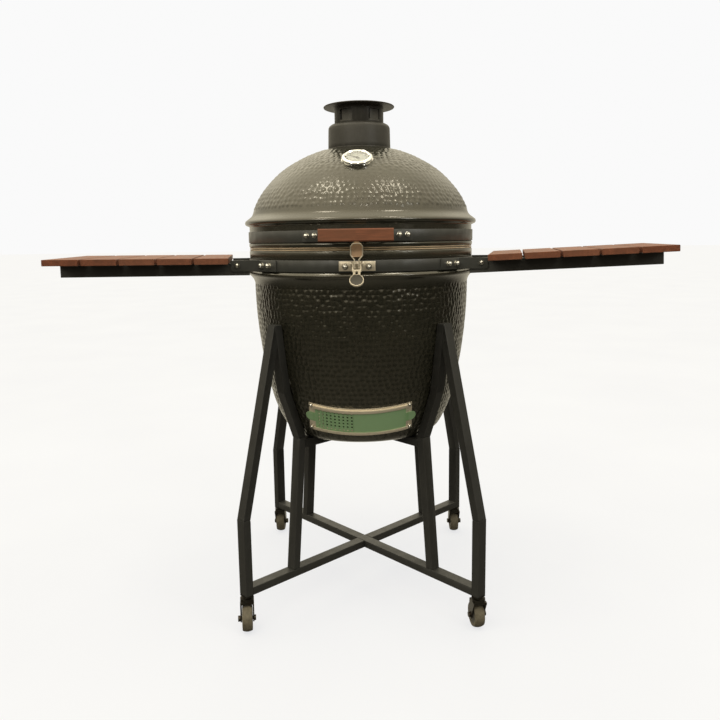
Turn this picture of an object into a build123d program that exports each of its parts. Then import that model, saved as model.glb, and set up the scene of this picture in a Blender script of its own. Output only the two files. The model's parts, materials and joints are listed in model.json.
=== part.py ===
"""Kamado grill on a four-legged rolling stand, with folding side shelves.

Units mm, +Z up, front of the grill towards -Y, origin on the floor under the
middle of the bowl. Every physical piece is its own part and STEP file.
"""
import os
from math import atan2, cos, degrees, hypot, radians, sin, sqrt

from build123d import *

os.makedirs("parts", exist_ok=True)

# ---------------------------------------------------------------- driving sizes
# ceramic body
WALL = 27.0                 # ceramic wall thickness
CROWN_R, CROWN_Z = 340.7, 835.9       # dome crown arc, centred on the axis
SHOULDER_R, SHOULDER_ANGLE = 222.5, 36.0   # tighter arc below the crown
FLARE_R, FLARE_Z = 300.0, 981.0       # drip flare round the lid
SKIRT_R = 289.0             # plain ring under each band
LIP_R = 291.0               # rounded lips at the seal
BOWL_ROLL_R = 294.0         # rolled edge of the bowl under its band
SEAL_Z = 916.8              # middle of the felt seal
MOUTH_R = 258.0             # clear radius inside the seal
SIDE_R, SIDE_X, SIDE_Z = 1177.3, -898.0, 828.4    # bowl side arc and its centre
BELLY_R, BELLY_X, BELLY_Z = 326.2, -72.9, 619.8   # bowl belly arc and its centre
BOWL_FOOT_Z = 438.0         # flat underside of the bowl
CHIMNEY_R = 60.0            # hole in the crown
CROWN_FLAT_Z = 1167.0       # crown ground flat under the vent
FIRE_BOX_Z, FIRE_RING_Z = 722.0, 856.0   # tops of the fire box and fire ring

# bands
BAND_T = 3.0
BAND_R = SKIRT_R + BAND_T
UPPER_BAND = (932.0, 959.5)
LOWER_BAND = (864.5, 891.5)
STRAP_T = 3.0               # brackets bolted on the bands
STRAP_R = BAND_R + STRAP_T

# lid hinge
HINGE_Y, HINGE_Z = 335.0, 932.0
HINGE_PIN_R = 5.0

# stand
TUBE_ACROSS, TUBE_ALONG, TUBE_WALL = 28.0, 20.0, 1.5
POST_S = 397.0              # corner post to axis, measured along the diagonal
POST_BEND_Z = 277.0
STRUT_SLOPE = 0.236         # inward lean of the outer struts
POST_FOOT_Z = 85.0
APEX_Z = 737.0
CRADLE_S, CRADLE_Z = 222.0, 446.0     # knee of the inner legs
INNER_FOOT_S = 252.0
BAR_H = 20.0

# casters
WHEEL_R, WHEEL_W = 31.0, 24.0
CASTER_TRAIL = 12.0
CASTER_TURN = {"fl": 10.0, "fr": 192.0, "rl": 180.0, "rr": 182.0}   # trail heading

# shelves
SHELF_AZ = 79.3             # direction of each shelf from the front
SHELF_HINGE_R, SHELF_HINGE_Z = 321.5, 879.0
SHELF_TILT = {"left": 0.5, "right": 2.5}
SLATS, SLAT_GAP, SLAT_LEN, SLAT_T = 5, 6.0, 436.0, 14.0
SHELF_IN, SHELF_OUT = 340.0, 741.0
ARM_V, ARM_W, ARM_H, ARM_OUT = 106.0, 26.0, 30.0, 728.0

# handle
GRIP_L, GRIP_H, GRIP_D = 163.0, 28.0, 22.0
GRIP_Y, GRIP_Z = -352.0, 947.0        # front face, mid height

# vent
COLLAR_R, COLLAR_Z0, COLLAR_Z1 = 80.5, 1168.6, 1229.2
SPIGOT_R, NECK_R, SLEEVE_R, SLEEVE_T = 59.0, 61.0, 63.0, 1.6
CAP_R, CAP_Z = 91.0, 1270.5
WINDOWS, WINDOW_ARC, WINDOW_OPEN = 5, 32.0, 3.4
WINDOW_Z = (1236.0, 1262.0)
WINDOW_START = -47.2        # left edge of the first open slit

# thermometer
THERMO_ANGLE = 33.0         # from vertical, on the crown arc
BEZEL_R, DIAL_R = 36.5, 26.5

# draft door, on a cylinder whose axis leans with the bowl
DRAFT_Z, DRAFT_R, DRAFT_RHO, DRAFT_TILT = 503.0, 231.7, 240.0, 18.0
DRAFT_HALF_ARC, DRAFT_HALF_H = 31.2, 37.0
HOLE_COLS, HOLE_ROWS, HOLE_R = 9, 6, 2.4
TAB_ARC = 30.6              # middle of each finger tab

# latch
LEVER_Y, LEVER_Z = -306.0, 884.0      # lever pin
BAIL_Y, BAIL_Z = -311.0, 875.0        # bail pin
KNOB_Y, KNOB_Z = -334.0, 850.0        # middle of the finger disc


# ---------------------------------------------------------------- helpers
def polar(r, az):
    """Point at radius r and angle az from the front, positive towards +X."""
    a = radians(az)
    return (r * sin(a), -r * cos(a))


def radial_plane(r, az, z):
    """Plane on a cylinder, its normal pointing out."""
    x, y = polar(r, az)
    a = radians(az)
    return Plane(origin=(x, y, z), x_dir=(cos(a), sin(a), 0), z_dir=(sin(a), -cos(a), 0))


def ring(r_in, r_out, z0, z1):
    """Upright tube as an algebra solid."""
    h = z1 - z0
    body = Cylinder(r_out, h, align=(Align.CENTER, Align.CENTER, Align.MIN))
    bore = Cylinder(r_in, h, align=(Align.CENTER, Align.CENTER, Align.MIN))
    return Pos(0, 0, z0) * (body - bore)


def wedge(az0, az1, z0, z1, reach=420.0):
    """Sector of angle az0..az1, used to cut rings into arcs."""
    low = (Align.NONE, Align.NONE, Align.MIN)
    solid = Cylinder(reach, z1 - z0, arc_size=az1 - az0, align=low)
    return Pos(0, 0, z0) * Rot(0, 0, az0 - 90.0) * solid


def arc_band(r_in, r_out, z0, z1, az0, az1):
    """Piece of an upright tube between two angles from the front."""
    return ring(r_in, r_out, z0, z1) & wedge(az0, az1, z0 - 1, z1 + 1)


def box_between(x0, x1, y0, y1, z0, z1):
    """Box by its limits."""
    size = (x1 - x0, y1 - y0, z1 - z0)
    return Pos((x0 + x1) / 2, (y0 + y1) / 2, (z0 + z1) / 2) * Box(*size)


def rod(p0, p1, r):
    """Round bar between two points."""
    d = Vector(*p1) - Vector(*p0)
    plane = Plane(origin=p0, z_dir=d)
    return plane * Cylinder(r, d.length, align=(Align.CENTER, Align.CENTER, Align.MIN))


def cross_rod(x0, x1, y, z, r):
    """Round bar along X."""
    return rod((x0, y, z), (x1, y, z), r)


def dome_nut(scale=1.0):
    """Washer and dome nut standing on the XY plane."""
    base = Cylinder(7.0 * scale, 1.2, align=(Align.CENTER, Align.CENTER, Align.MIN))
    hexa = Pos(0, 0, 1.2) * extrude(RegularPolygon(6.2 * scale, 6), 4.2 * scale)
    cap = Pos(0, 0, 5.0 * scale) * Sphere(5.2 * scale)
    trim = Pos(0, 0, 5.0 * scale) * Cylinder(6 * scale, 12, align=(Align.CENTER,) * 2 + (Align.MIN,))
    return base + hexa + (cap & trim)


def crown_point(r, offset=0.0):
    """Height of the dome crown arc at radius r."""
    return CROWN_Z + sqrt((CROWN_R - offset) ** 2 - r * r)


def arc_mid(cx, cz, radius, p0, p1):
    """Point half way along an arc about (cx, cz)."""
    a0 = atan2(p0[1] - cz, p0[0] - cx)
    a1 = atan2(p1[1] - cz, p1[0] - cx)
    a = (a0 + a1) / 2
    return (cx + radius * cos(a), cz + radius * sin(a))


# ---------------------------------------------------------------- ceramic profiles
SH = radians(SHOULDER_ANGLE)
SHOULDER_X = (CROWN_R - SHOULDER_R) * sin(SH)
SHOULDER_Z = (CROWN_R - SHOULDER_R) * cos(SH) + CROWN_Z
SIDE_ANGLE = atan2(SIDE_Z - BELLY_Z, BELLY_X - SIDE_X)


def lid_face():
    """Cross-section of the ceramic lid in the XZ plane."""
    rim_in = (CHIMNEY_R, CROWN_FLAT_Z)
    top_out = (sqrt(CROWN_R**2 - (CROWN_FLAT_Z - CROWN_Z) ** 2), CROWN_FLAT_Z)
    top_in = (CHIMNEY_R, crown_point(CHIMNEY_R, WALL))
    join_out = (CROWN_R * sin(SH), CROWN_Z + CROWN_R * cos(SH))
    join_in = ((CROWN_R - WALL) * sin(SH), CROWN_Z + (CROWN_R - WALL) * cos(SH))
    foot_z = 1005.0
    foot = (SHOULDER_X + sqrt(SHOULDER_R**2 - (foot_z - SHOULDER_Z) ** 2), foot_z)
    inner_r = SHOULDER_R - WALL
    spring_z = SHOULDER_Z + sqrt(inner_r**2 - (MOUTH_R - SHOULDER_X) ** 2)
    spring = (MOUTH_R, spring_z)
    lip_z = SEAL_Z + 4.2
    with BuildSketch(Plane.XZ) as sk:
        with BuildLine():
            ThreePointArc(top_out, arc_mid(0, CROWN_Z, CROWN_R, top_out, join_out), join_out)
            mid = arc_mid(SHOULDER_X, SHOULDER_Z, SHOULDER_R, join_out, foot)
            ThreePointArc(join_out, mid, foot)
            flare = (FLARE_R - 3.0, FLARE_Z + 6.5)
            Spline(foot, flare, tangents=((0.25, -1), (1, -0.85)))
            under = (FLARE_R - 3.5, FLARE_Z - 5.5)
            ThreePointArc(flare, (FLARE_R, FLARE_Z), under)
            Polyline(under, (SKIRT_R, FLARE_Z - 9.0), (SKIRT_R, lip_z + 10.0))
            lip_top = (LIP_R, lip_z + 8.0)
            lip_low = (LIP_R, lip_z + 2.0)
            Line((SKIRT_R, lip_z + 10.0), lip_top)
            Line(lip_top, lip_low)
            Polyline(lip_low, (LIP_R - 2.0, lip_z), (MOUTH_R, lip_z), spring)
            mid = arc_mid(SHOULDER_X, SHOULDER_Z, inner_r, spring, join_in)
            ThreePointArc(spring, mid, join_in)
            ThreePointArc(join_in, arc_mid(0, CROWN_Z, CROWN_R - WALL, join_in, top_in), top_in)
            Polyline(top_in, rim_in, top_out)
        make_face()
    return sk.sketch


def bowl_outer_points():
    """Key points down the outside of the bowl."""
    top = (SIDE_X + SIDE_R, SIDE_Z)
    join = (SIDE_X + SIDE_R * cos(SIDE_ANGLE), SIDE_Z - SIDE_R * sin(SIDE_ANGLE))
    low_z = 462.0
    low = (BELLY_X + sqrt(BELLY_R**2 - (BELLY_Z - low_z) ** 2), low_z)
    return top, join, low


def bowl_face(solid=False):
    """Cross-section of the bowl; solid=True fills it for trimming."""
    top, join, low = bowl_outer_points()
    lip_z = SEAL_Z - 4.4
    r_in = SIDE_R - WALL
    b_in = BELLY_R - WALL
    in_top = (SIDE_X + r_in, SIDE_Z)
    in_join = (SIDE_X + r_in * cos(SIDE_ANGLE), SIDE_Z - r_in * sin(SIDE_ANGLE))
    in_low = (BELLY_X + sqrt(b_in**2 - (BELLY_Z - 490.0) ** 2), 490.0)
    with BuildSketch(Plane.XZ) as sk:
        with BuildLine():
            foot = (180.0, BOWL_FOOT_Z)
            Polyline((0, BOWL_FOOT_Z), foot)
            ThreePointArc(foot, (201.0, 446.0), low)
            ThreePointArc(low, arc_mid(BELLY_X, BELLY_Z, BELLY_R, low, join), join)
            ThreePointArc(join, arc_mid(SIDE_X, SIDE_Z, SIDE_R, join, top), top)
            roll_z = LOWER_BAND[0] - 9.0
            roll_foot = (BOWL_ROLL_R - 2.5, roll_z - 5.0)
            roll_top = (BOWL_ROLL_R - 2.5, roll_z + 5.0)
            Spline(top, roll_foot, tangents=((0.02, 1), (0.9, 0.75)))
            ThreePointArc(roll_foot, (BOWL_ROLL_R, roll_z), roll_top)
            Polyline(roll_top, (SKIRT_R, LOWER_BAND[0] - 0.2),
                     (SKIRT_R, lip_z - 18.5), (LIP_R - 0.5, lip_z - 17.0), (LIP_R - 0.5, lip_z - 2.0),
                     (LIP_R - 2.5, lip_z), (MOUTH_R, lip_z))
            if solid:
                Polyline((MOUTH_R, lip_z), (0, lip_z), (0, BOWL_FOOT_Z))
            else:
                Polyline((MOUTH_R, lip_z), (MOUTH_R, 872.0), in_top)
                ThreePointArc(in_top, arc_mid(SIDE_X, SIDE_Z, r_in, in_top, in_join), in_join)
                mid = arc_mid(BELLY_X, BELLY_Z, b_in, in_join, in_low)
                ThreePointArc(in_join, mid, in_low)
                floor_z = BOWL_FOOT_Z + 28.0
                Polyline(in_low, (172.0, floor_z), (0, floor_z), (0, BOWL_FOOT_Z))
        make_face()
    return sk.sketch


# ---------------------------------------------------------------- draft frame of reference
DT = radians(DRAFT_TILT)
DRAFT_N = Vector(0, -cos(DT), -sin(DT))
DRAFT_G = Vector(0, -sin(DT), cos(DT))
DRAFT_C = Vector(0, -DRAFT_R, DRAFT_Z)
DRAFT_AXIS = DRAFT_C - DRAFT_N * DRAFT_RHO
DRAFT_LOC = Plane(origin=DRAFT_AXIS, x_dir=(1, 0, 0), z_dir=DRAFT_G)


def draft_arc(rho0, rho1, h0, h1, a0, a1):
    """Curved sheet in the draft door's own cylinder."""
    return DRAFT_LOC * arc_band(rho0, rho1, h0, h1, a0, a1)


def draft_radial(rho, a, h):
    """Plane on the draft cylinder, normal out."""
    return Plane(DRAFT_LOC.location * radial_plane(rho, a, h).location)


bowl_fill = revolve(bowl_face(solid=True), axis=Axis.Z)

# ---------------------------------------------------------------- bowl and lid
bowl_solid = revolve(bowl_face(), axis=Axis.Z) - draft_arc(180, 262, -21, 21, -21, 21)
with BuildPart() as bowl:
    add(bowl_solid)
bowl.part.label = "bowl"
export_step(bowl.part, "parts/bowl.step")

TA = radians(THERMO_ANGLE)
THERMO_POINT = (0, -CROWN_R * sin(TA), CROWN_Z + CROWN_R * cos(TA))
THERMO = Plane(origin=THERMO_POINT, x_dir=(1, 0, 0), z_dir=(0, -sin(TA), cos(TA)))

lid_solid = revolve(lid_face(), axis=Axis.Z) - THERMO * Cylinder(6.0, 120.0)
with BuildPart() as lid:
    add(lid_solid)
lid.part.label = "lid"
export_step(lid.part, "parts/lid.step")

bowl_gasket_solid = ring(262.0, LIP_R - 1.0, SEAL_Z - 4.4, SEAL_Z - 0.4)
with BuildPart() as bowl_gasket:
    add(bowl_gasket_solid)
bowl_gasket.part.label = "bowl_gasket"
export_step(bowl_gasket.part, "parts/bowl_gasket.step")

lid_gasket_solid = ring(262.0, LIP_R - 1.0, SEAL_Z + 0.4, SEAL_Z + 4.2)
with BuildPart() as lid_gasket:
    add(lid_gasket_solid)
lid_gasket.part.label = "lid_gasket"
export_step(lid_gasket.part, "parts/lid_gasket.step")

lower_band_solid = ring(SKIRT_R, BAND_R, *LOWER_BAND)
with BuildPart() as lower_band:
    add(lower_band_solid)
lower_band.part.label = "lower_band"
export_step(lower_band.part, "parts/lower_band.step")

upper_band_solid = ring(SKIRT_R, BAND_R, *UPPER_BAND)
with BuildPart() as upper_band:
    add(upper_band_solid)
upper_band.part.label = "upper_band"
export_step(upper_band.part, "parts/upper_band.step")

# ---------------------------------------------------------------- inside the bowl
FLOOR_IN = BOWL_FOOT_Z + 28.0
fire_box_slot = draft_arc(120, 262, -19, 21, -19, 19)
with BuildPart() as fire_box:
    with BuildSketch(Plane.XZ):
        with BuildLine():
            Polyline((70, FLOOR_IN), (160, FLOOR_IN), (196, 520), (211, 560), (236, FIRE_BOX_Z),
                     (214, FIRE_BOX_Z), (194, 576), (176, 576), (168, 540), (140, 492),
                     (70, 492), (70, FLOOR_IN))
        make_face()
    revolve(axis=Axis.Z)
    add(fire_box_slot, mode=Mode.SUBTRACT)
fire_box.part.label = "fire_box"
export_step(fire_box.part, "parts/fire_box.step")

fire_ring_solid = ring(214.0, 240.0, FIRE_BOX_Z, FIRE_RING_Z)
with BuildPart() as fire_ring:
    add(fire_ring_solid)
fire_ring.part.label = "fire_ring"
export_step(fire_ring.part, "parts/fire_ring.step")

grate_disc = Pos(0, 0, 580) * Cylinder(186.0, 8.0)
grate_rib = Pos(0, 0, 580) * Box(12, 350, 8)
with BuildPart() as charcoal_grate:
    add(grate_disc)
    with BuildSketch(Plane.XY.offset(570)):
        for row in range(-6, 7):
            half = sqrt(165.0**2 - (row * 24.0) ** 2)
            with Locations((0, row * 24.0)):
                SlotOverall(2 * half, 10.0)
    extrude(amount=20, mode=Mode.SUBTRACT)
    add(grate_rib)
charcoal_grate.part.label = "charcoal_grate"
export_step(charcoal_grate.part, "parts/charcoal_grate.step")

GRID_R, GRID_Z = 236.0, FIRE_RING_Z + 3.1
grid_rods = []
for i in range(-15, 16):
    x = i * 15.0
    half = sqrt((GRID_R - 0.7) ** 2 - x * x)
    grid_rods.append(rod((x, -half, GRID_Z + 1.5), (x, half, GRID_Z + 1.5), 2.0))
for y in (-110.0, 110.0):
    half = sqrt((GRID_R - 0.7) ** 2 - y * y)
    grid_rods.append(cross_rod(-half, half, y, GRID_Z - 0.6, 2.4))
with BuildPart() as cooking_grid:
    with BuildSketch(Plane.XZ):
        with Locations((GRID_R, GRID_Z)):
            Circle(3.0)
    revolve(axis=Axis.Z)
    add(grid_rods)
cooking_grid.part.label = "cooking_grid"
export_step(cooking_grid.part, "parts/cooking_grid.step")

# ---------------------------------------------------------------- stand
INNER_A = (211.5, CRADLE_Z)
INNER_B = (256.8, 572.6)
INNER_C = (277.5, 735.0)


def along(p, q, d):
    """Point on the line p-q, at distance d from p."""
    n = hypot(q[0] - p[0], q[1] - p[1])
    return (p[0] + (q[0] - p[0]) * d / n, p[1] + (q[1] - p[1]) * d / n)


def offset_line(p, q, d):
    """Line p-q moved outwards (away from the axis) by d."""
    n = hypot(q[0] - p[0], q[1] - p[1])
    ox, oz = (q[1] - p[1]) / n * d, -(q[0] - p[0]) / n * d
    return ((p[0] + ox, p[1] + oz), (q[0] + ox, q[1] + oz))


def meet(a, b):
    """Crossing of two lines given by point pairs."""
    (x1, y1), (x2, y2) = a
    (x3, y3), (x4, y4) = b
    den = (x1 - x2) * (y3 - y4) - (y1 - y2) * (x3 - x4)
    m = x1 * y2 - y1 * x2
    n = x3 * y4 - y3 * x4
    return ((m * (x3 - x4) - (x1 - x2) * n) / den, (m * (y3 - y4) - (y1 - y2) * n) / den)


def diagonal_piece(points, az, hollow=None):
    """Flat outline in a diagonal plane (s, z), made TUBE_ACROSS thick."""
    a = radians(az)
    plane = Plane(origin=(0, 0, 0), x_dir=(sin(a), -cos(a), 0), z_dir=(-cos(a), -sin(a), 0))
    face = make_face(Polyline(*points, points[0]))
    solid = extrude(plane * face, TUBE_ACROSS / 2, both=True)
    if hollow:
        inner = make_face(Polyline(*hollow, hollow[0]))
        solid = solid - extrude(plane * inner, TUBE_ACROSS / 2 - TUBE_WALL, both=True)
    return solid


def walled(p_in0, p_in1, p_out1, p_out0):
    """Inner outline of a tube between its two side faces."""
    w = TUBE_WALL
    t = TUBE_ALONG
    return (along(p_in0, p_out0, w * hypot(p_out0[0] - p_in0[0], p_out0[1] - p_in0[1]) / t),
            along(p_in1, p_out1, w * hypot(p_out1[0] - p_in1[0], p_out1[1] - p_in1[1]) / t),
            along(p_out1, p_in1, w * hypot(p_out1[0] - p_in1[0], p_out1[1] - p_in1[1]) / t),
            along(p_out0, p_in0, w * hypot(p_out0[0] - p_in0[0], p_out0[1] - p_in0[1]) / t))


HALF = TUBE_ALONG / 2
WELD_GAP = 0.2              # between the full bar and the two half bars of a cross
strut_top = (POST_S - STRUT_SLOPE * (APEX_Z - POST_BEND_Z), APEX_Z)
strut_mid = ((POST_S, POST_BEND_Z), strut_top)
strut_out = offset_line(*strut_mid, HALF)
strut_in = offset_line(*strut_mid, -HALF)
post_out = ((POST_S + HALF, 0), (POST_S + HALF, 100))
post_in = ((POST_S - HALF, 0), (POST_S - HALF, 100))
knee_out = meet(post_out, strut_out)
knee_in = meet(post_in, strut_in)

lower_out = offset_line(INNER_A, INNER_B, TUBE_ALONG)
upper_out = offset_line(INNER_B, INNER_C, TUBE_ALONG)
mid_out = meet(lower_out, upper_out)
top_line = ((0, APEX_Z), (100, APEX_Z))
upper_in_top = meet((INNER_B, INNER_C), top_line)
upper_out_top = meet(upper_out, top_line)

leg_dir = (CRADLE_S, CRADLE_Z), (INNER_FOOT_S, POST_FOOT_Z + BAR_H)
leg_a = offset_line(*leg_dir, HALF)
leg_b = offset_line(*leg_dir, -HALF)
leg_in, leg_out = (leg_a, leg_b) if leg_a[0][0] < leg_b[0][0] else (leg_b, leg_a)
foot_line = ((0, POST_FOOT_Z + BAR_H), (100, POST_FOOT_Z + BAR_H))
leg_in_foot = meet(leg_in, foot_line)
leg_out_foot = meet(leg_out, foot_line)
cradle_in_knee = meet(leg_in, (INNER_A, INNER_B))
cradle_out_knee = meet(leg_out, lower_out)

strut_in_top = meet(strut_in, upper_out)
strut_out_top = meet(strut_out, upper_out)
CORNERS = (-45.0, 45.0, 135.0, 225.0)

outline = ((POST_S - HALF, POST_FOOT_Z), knee_in, knee_out, (POST_S + HALF, POST_FOOT_Z))
pieces = [diagonal_piece(outline, az, walled(*outline)) for az in CORNERS]
with BuildPart() as corner_posts:
    add(pieces)
corner_posts.part.label = "corner_posts"
export_step(corner_posts.part, "parts/corner_posts.step")

outline = (knee_in, strut_in_top, strut_out_top, knee_out)
pieces = [diagonal_piece(outline, az) for az in CORNERS]
with BuildPart() as outer_struts:
    add(pieces)
outer_struts.part.label = "outer_struts"
export_step(outer_struts.part, "parts/outer_struts.step")

outline = (cradle_in_knee, INNER_B, upper_in_top, upper_out_top, mid_out, cradle_out_knee)
pieces = [diagonal_piece(outline, az) for az in CORNERS]
with BuildPart() as cradle_struts:
    add(pieces)
cradle_struts.part.label = "cradle_struts"
export_step(cradle_struts.part, "parts/cradle_struts.step")

outline = (leg_in_foot, cradle_in_knee, cradle_out_knee, leg_out_foot)
pieces = [diagonal_piece(outline, az, walled(*outline)) for az in CORNERS]
with BuildPart() as inner_posts:
    add(pieces)
inner_posts.part.label = "inner_posts"
export_step(inner_posts.part, "parts/inner_posts.step")


def cross_bars(s_low, s_high, z0, z1):
    """One full bar and two half bars, ends cut to the leg faces."""
    half = TUBE_ACROSS / 2 + WELD_GAP
    full = ((-s_low, z0), (-s_high, z1), (s_high, z1), (s_low, z0))
    part = ((half, z0), (half, z1), (s_high, z1), (s_low, z0))
    w = TUBE_WALL
    full_in = ((-s_low, z0 + w), (-s_high, z1 - w), (s_high, z1 - w), (s_low, z0 + w))
    part_in = ((half, z0 + w), (half, z1 - w), (s_high, z1 - w), (s_low, z0 + w))
    bars = [diagonal_piece(full, 45.0, full_in)]
    bars += [diagonal_piece(part, az, part_in) for az in (-45.0, 135.0)]
    return bars


s_end = POST_S - HALF
pieces = cross_bars(s_end, s_end, POST_FOOT_Z, POST_FOOT_Z + BAR_H)
with BuildPart() as base_cross:
    add(pieces)
base_cross.part.label = "base_cross"
export_step(base_cross.part, "parts/base_cross.step")

bar_z = (BOWL_FOOT_Z - BAR_H, BOWL_FOOT_Z)
ends = [meet(leg_in, ((0, z), (100, z)))[0] for z in bar_z]
pieces = cross_bars(ends[0], ends[1], *bar_z)
with BuildPart() as cradle_cross:
    add(pieces)
cradle_cross.part.label = "cradle_cross"
export_step(cradle_cross.part, "parts/cradle_cross.step")

# ---------------------------------------------------------------- casters
CASTER_AZ = {"fl": -45.0, "fr": 45.0, "rr": 135.0, "rl": 225.0}
RACE_Z = POST_FOOT_Z - 6.0

pieces = []
for az in CORNERS:
    x, y = polar(POST_S, az)
    plate = Rot(0, 0, az) * Box(TUBE_ACROSS, TUBE_ALONG, 3.0)
    race = Pos(0, 0, -3.0) * Cylinder(9.9, 3.0)
    pieces.append(Pos(x, y, POST_FOOT_Z - 1.5) * (plate + race))
with BuildPart() as caster_stems:
    add(pieces)
caster_stems.part.label = "caster_stems"
export_step(caster_stems.part, "parts/caster_stems.step")


def caster_plane(name):
    """Floor point under the caster stem, x pointing along the trail."""
    x, y = polar(POST_S, CASTER_AZ[name])
    a = radians(CASTER_TURN[name])
    return Plane(origin=(x, y, 0), x_dir=(sin(a), -cos(a), 0), z_dir=(0, 0, 1))


def caster_fork():
    """Swivel head, fork cheeks and riveted axle, trail along +X."""
    head = Pos(0, 0, RACE_Z - 3.8) * Cylinder(16.5, 7.0)
    crown = box_between(-15, 17, -16.5, 16.5, WHEEL_R * 2 + 4.5, RACE_Z - 6.8)
    with BuildPart() as cheeks:
        with BuildSketch(Plane.XZ.offset(-16.5)):
            with BuildLine():
                Polyline((-15, 69), (17, 69), (CASTER_TRAIL + 9, 31), (CASTER_TRAIL + 6, 24),
                         (CASTER_TRAIL - 6, 24), (CASTER_TRAIL - 9, 31), (-15, 69))
            make_face()
        extrude(amount=3.0)
    cheek = cheeks.part
    other = mirror(cheek, about=Plane.XZ)
    axle = rod((CASTER_TRAIL, -21.0, WHEEL_R), (CASTER_TRAIL, 19.0, WHEEL_R), 3.95)
    nut = rod((CASTER_TRAIL, -22.5, WHEEL_R), (CASTER_TRAIL, -16.5, WHEEL_R), 7.0)
    bolt = rod((CASTER_TRAIL, 16.5, WHEEL_R), (CASTER_TRAIL, 20.5, WHEEL_R), 6.5)
    return head + crown + cheek + other + axle + nut + bolt


def caster_wheel():
    """Rubber-tyred wheel on its hub, rounded tread."""
    half = WHEEL_W / 2
    with BuildPart() as wheel:
        with BuildSketch(Plane.XY):
            with BuildLine():
                Polyline((4.0, -half - 0.6), (9.0, -half - 0.6), (10.0, -half + 1.0),
                         (20.0, -half + 1.0), (22.0, -half), (WHEEL_R - 3.0, -half))
                ThreePointArc((WHEEL_R - 3.0, -half), (WHEEL_R, 0), (WHEEL_R - 3.0, half))
                Polyline((WHEEL_R - 3.0, half), (22.0, half), (20.0, half - 1.0),
                         (10.0, half - 1.0), (9.0, half + 0.6), (4.0, half + 0.6),
                         (4.0, -half - 0.6))
            make_face()
        revolve(axis=Axis.Y)
    return Pos(CASTER_TRAIL, 0, WHEEL_R) * wheel.part


fork_solid = caster_fork()
wheel_solid = caster_wheel()
for corner in ("fl", "fr", "rl", "rr"):
    placed = caster_plane(corner) * fork_solid
    with BuildPart() as fork:
        add(placed)
    fork.part.label = f"caster_fork_{corner}"
    export_step(fork.part, f"parts/caster_fork_{corner}.step")
    placed = caster_plane(corner) * wheel_solid
    with BuildPart() as caster:
        add(placed)
    caster.part.label = f"caster_wheel_{corner}"
    export_step(caster.part, f"parts/caster_wheel_{corner}.step")

# ---------------------------------------------------------------- side shelves
SA = radians(90.0 - SHELF_AZ)
U = Vector(cos(SA), -sin(SA), 0)
T = Vector(sin(SA), cos(SA), 0)
SHELF_BASE = Plane(origin=(0, 0, 0), x_dir=U, z_dir=(0, 0, 1))
NUT_AZ = (45.8, 51.8)
STRAP_AZ = (41.0, 55.5)
BRACKET_END, BRACKET_ROUND = 337.0, 6.0
PLATE_V = (119.6, 124.1)


def shelf_plane(tilt):
    """Plane on the right shelf's hinge line, x along the shelf, tilted up."""
    a = radians(tilt)
    zdir = Vector(0, 0, 1)
    origin = U * SHELF_HINGE_R + zdir * SHELF_HINGE_Z
    return Plane(origin=origin, x_dir=U * cos(a) + zdir * sin(a), z_dir=zdir * cos(a) - U * sin(a))


def shelf_arms(tilt):
    """The two square tubes of the right shelf."""
    x0, x1 = -29.5, ARM_OUT - SHELF_HINGE_R
    w, z1 = 2.0, 6.0
    z0 = z1 - ARM_H
    arms = []
    for side in (-1, 1):
        v0, v1 = side * ARM_V - ARM_W / 2, side * ARM_V + ARM_W / 2
        tube = box_between(x0, x1, v0, v1, z0, z1)
        tube -= box_between(x0, x1 - w, v0 + w, v1 - w, z0 + w, z1 - w)
        tube -= rod((0, v0 - 5, 0), (0, v1 + 5, 0), 3.05)
        arms.append(shelf_plane(tilt) * tube)
    return arms


def shelf_slats(tilt):
    """The five wooden slats of the right shelf."""
    pitch = (SHELF_OUT - SHELF_IN + SLAT_GAP) / SLATS
    slats = []
    for i in range(SLATS):
        x0 = SHELF_IN - SHELF_HINGE_R + i * pitch
        board = box_between(x0, x0 + pitch - SLAT_GAP, -SLAT_LEN / 2, SLAT_LEN / 2, 6.0, 6.0 + SLAT_T)
        board = chamfer(board.edges().filter_by(Axis.Y), 1.0)
        slats.append(shelf_plane(tilt) * board)
    return slats


def shelf_bracket(side):
    """Strap on the lower band with a plate reaching out to the shelf hinge."""
    az0, az1 = STRAP_AZ
    strap = arc_band(BAND_R, STRAP_R, LOWER_BAND[0], LOWER_BAND[1] - 0.5, az0, az1)
    v0, v1 = sorted((-PLATE_V[0], -PLATE_V[1]))
    plate = box_between(258.0, BRACKET_END, v0, v1, LOWER_BAND[0], LOWER_BAND[1] - 0.5)
    end_edges = plate.edges().filter_by(Axis.Y).group_by(Axis.X)[-1]
    plate = fillet(end_edges.sort_by(Axis.Z)[0], BRACKET_ROUND)
    plate = SHELF_BASE * plate
    plate -= ring(0.001, BAND_R, LOWER_BAND[0] - 1, LOWER_BAND[1] + 1)
    body = strap + plate
    hole = rod((SHELF_HINGE_R, -140, SHELF_HINGE_Z), (SHELF_HINGE_R, -100, SHELF_HINGE_Z), 3.0)
    body -= SHELF_BASE * hole
    if side > 0:
        return body
    return mirror(body, about=Plane(origin=(0, 0, 0), x_dir=U, z_dir=T))


def shelf_pin(side):
    """Hinge bolt with a dome head outside the bracket plate."""
    shank = rod((SHELF_HINGE_R, -PLATE_V[1] - 1, SHELF_HINGE_Z),
                (SHELF_HINGE_R, -ARM_V + ARM_W / 2 - 4, SHELF_HINGE_Z), 3.0)
    head = rod((SHELF_HINGE_R, -PLATE_V[1] - 4, SHELF_HINGE_Z),
               (SHELF_HINGE_R, -PLATE_V[1], SHELF_HINGE_Z), 6.0)
    cap = Pos(SHELF_HINGE_R, -PLATE_V[1] - 4, SHELF_HINGE_Z) * Sphere(4.6)
    body = SHELF_BASE * (shank + head + cap)
    if side > 0:
        return body
    return mirror(body, about=Plane(origin=(0, 0, 0), x_dir=U, z_dir=T))


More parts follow.
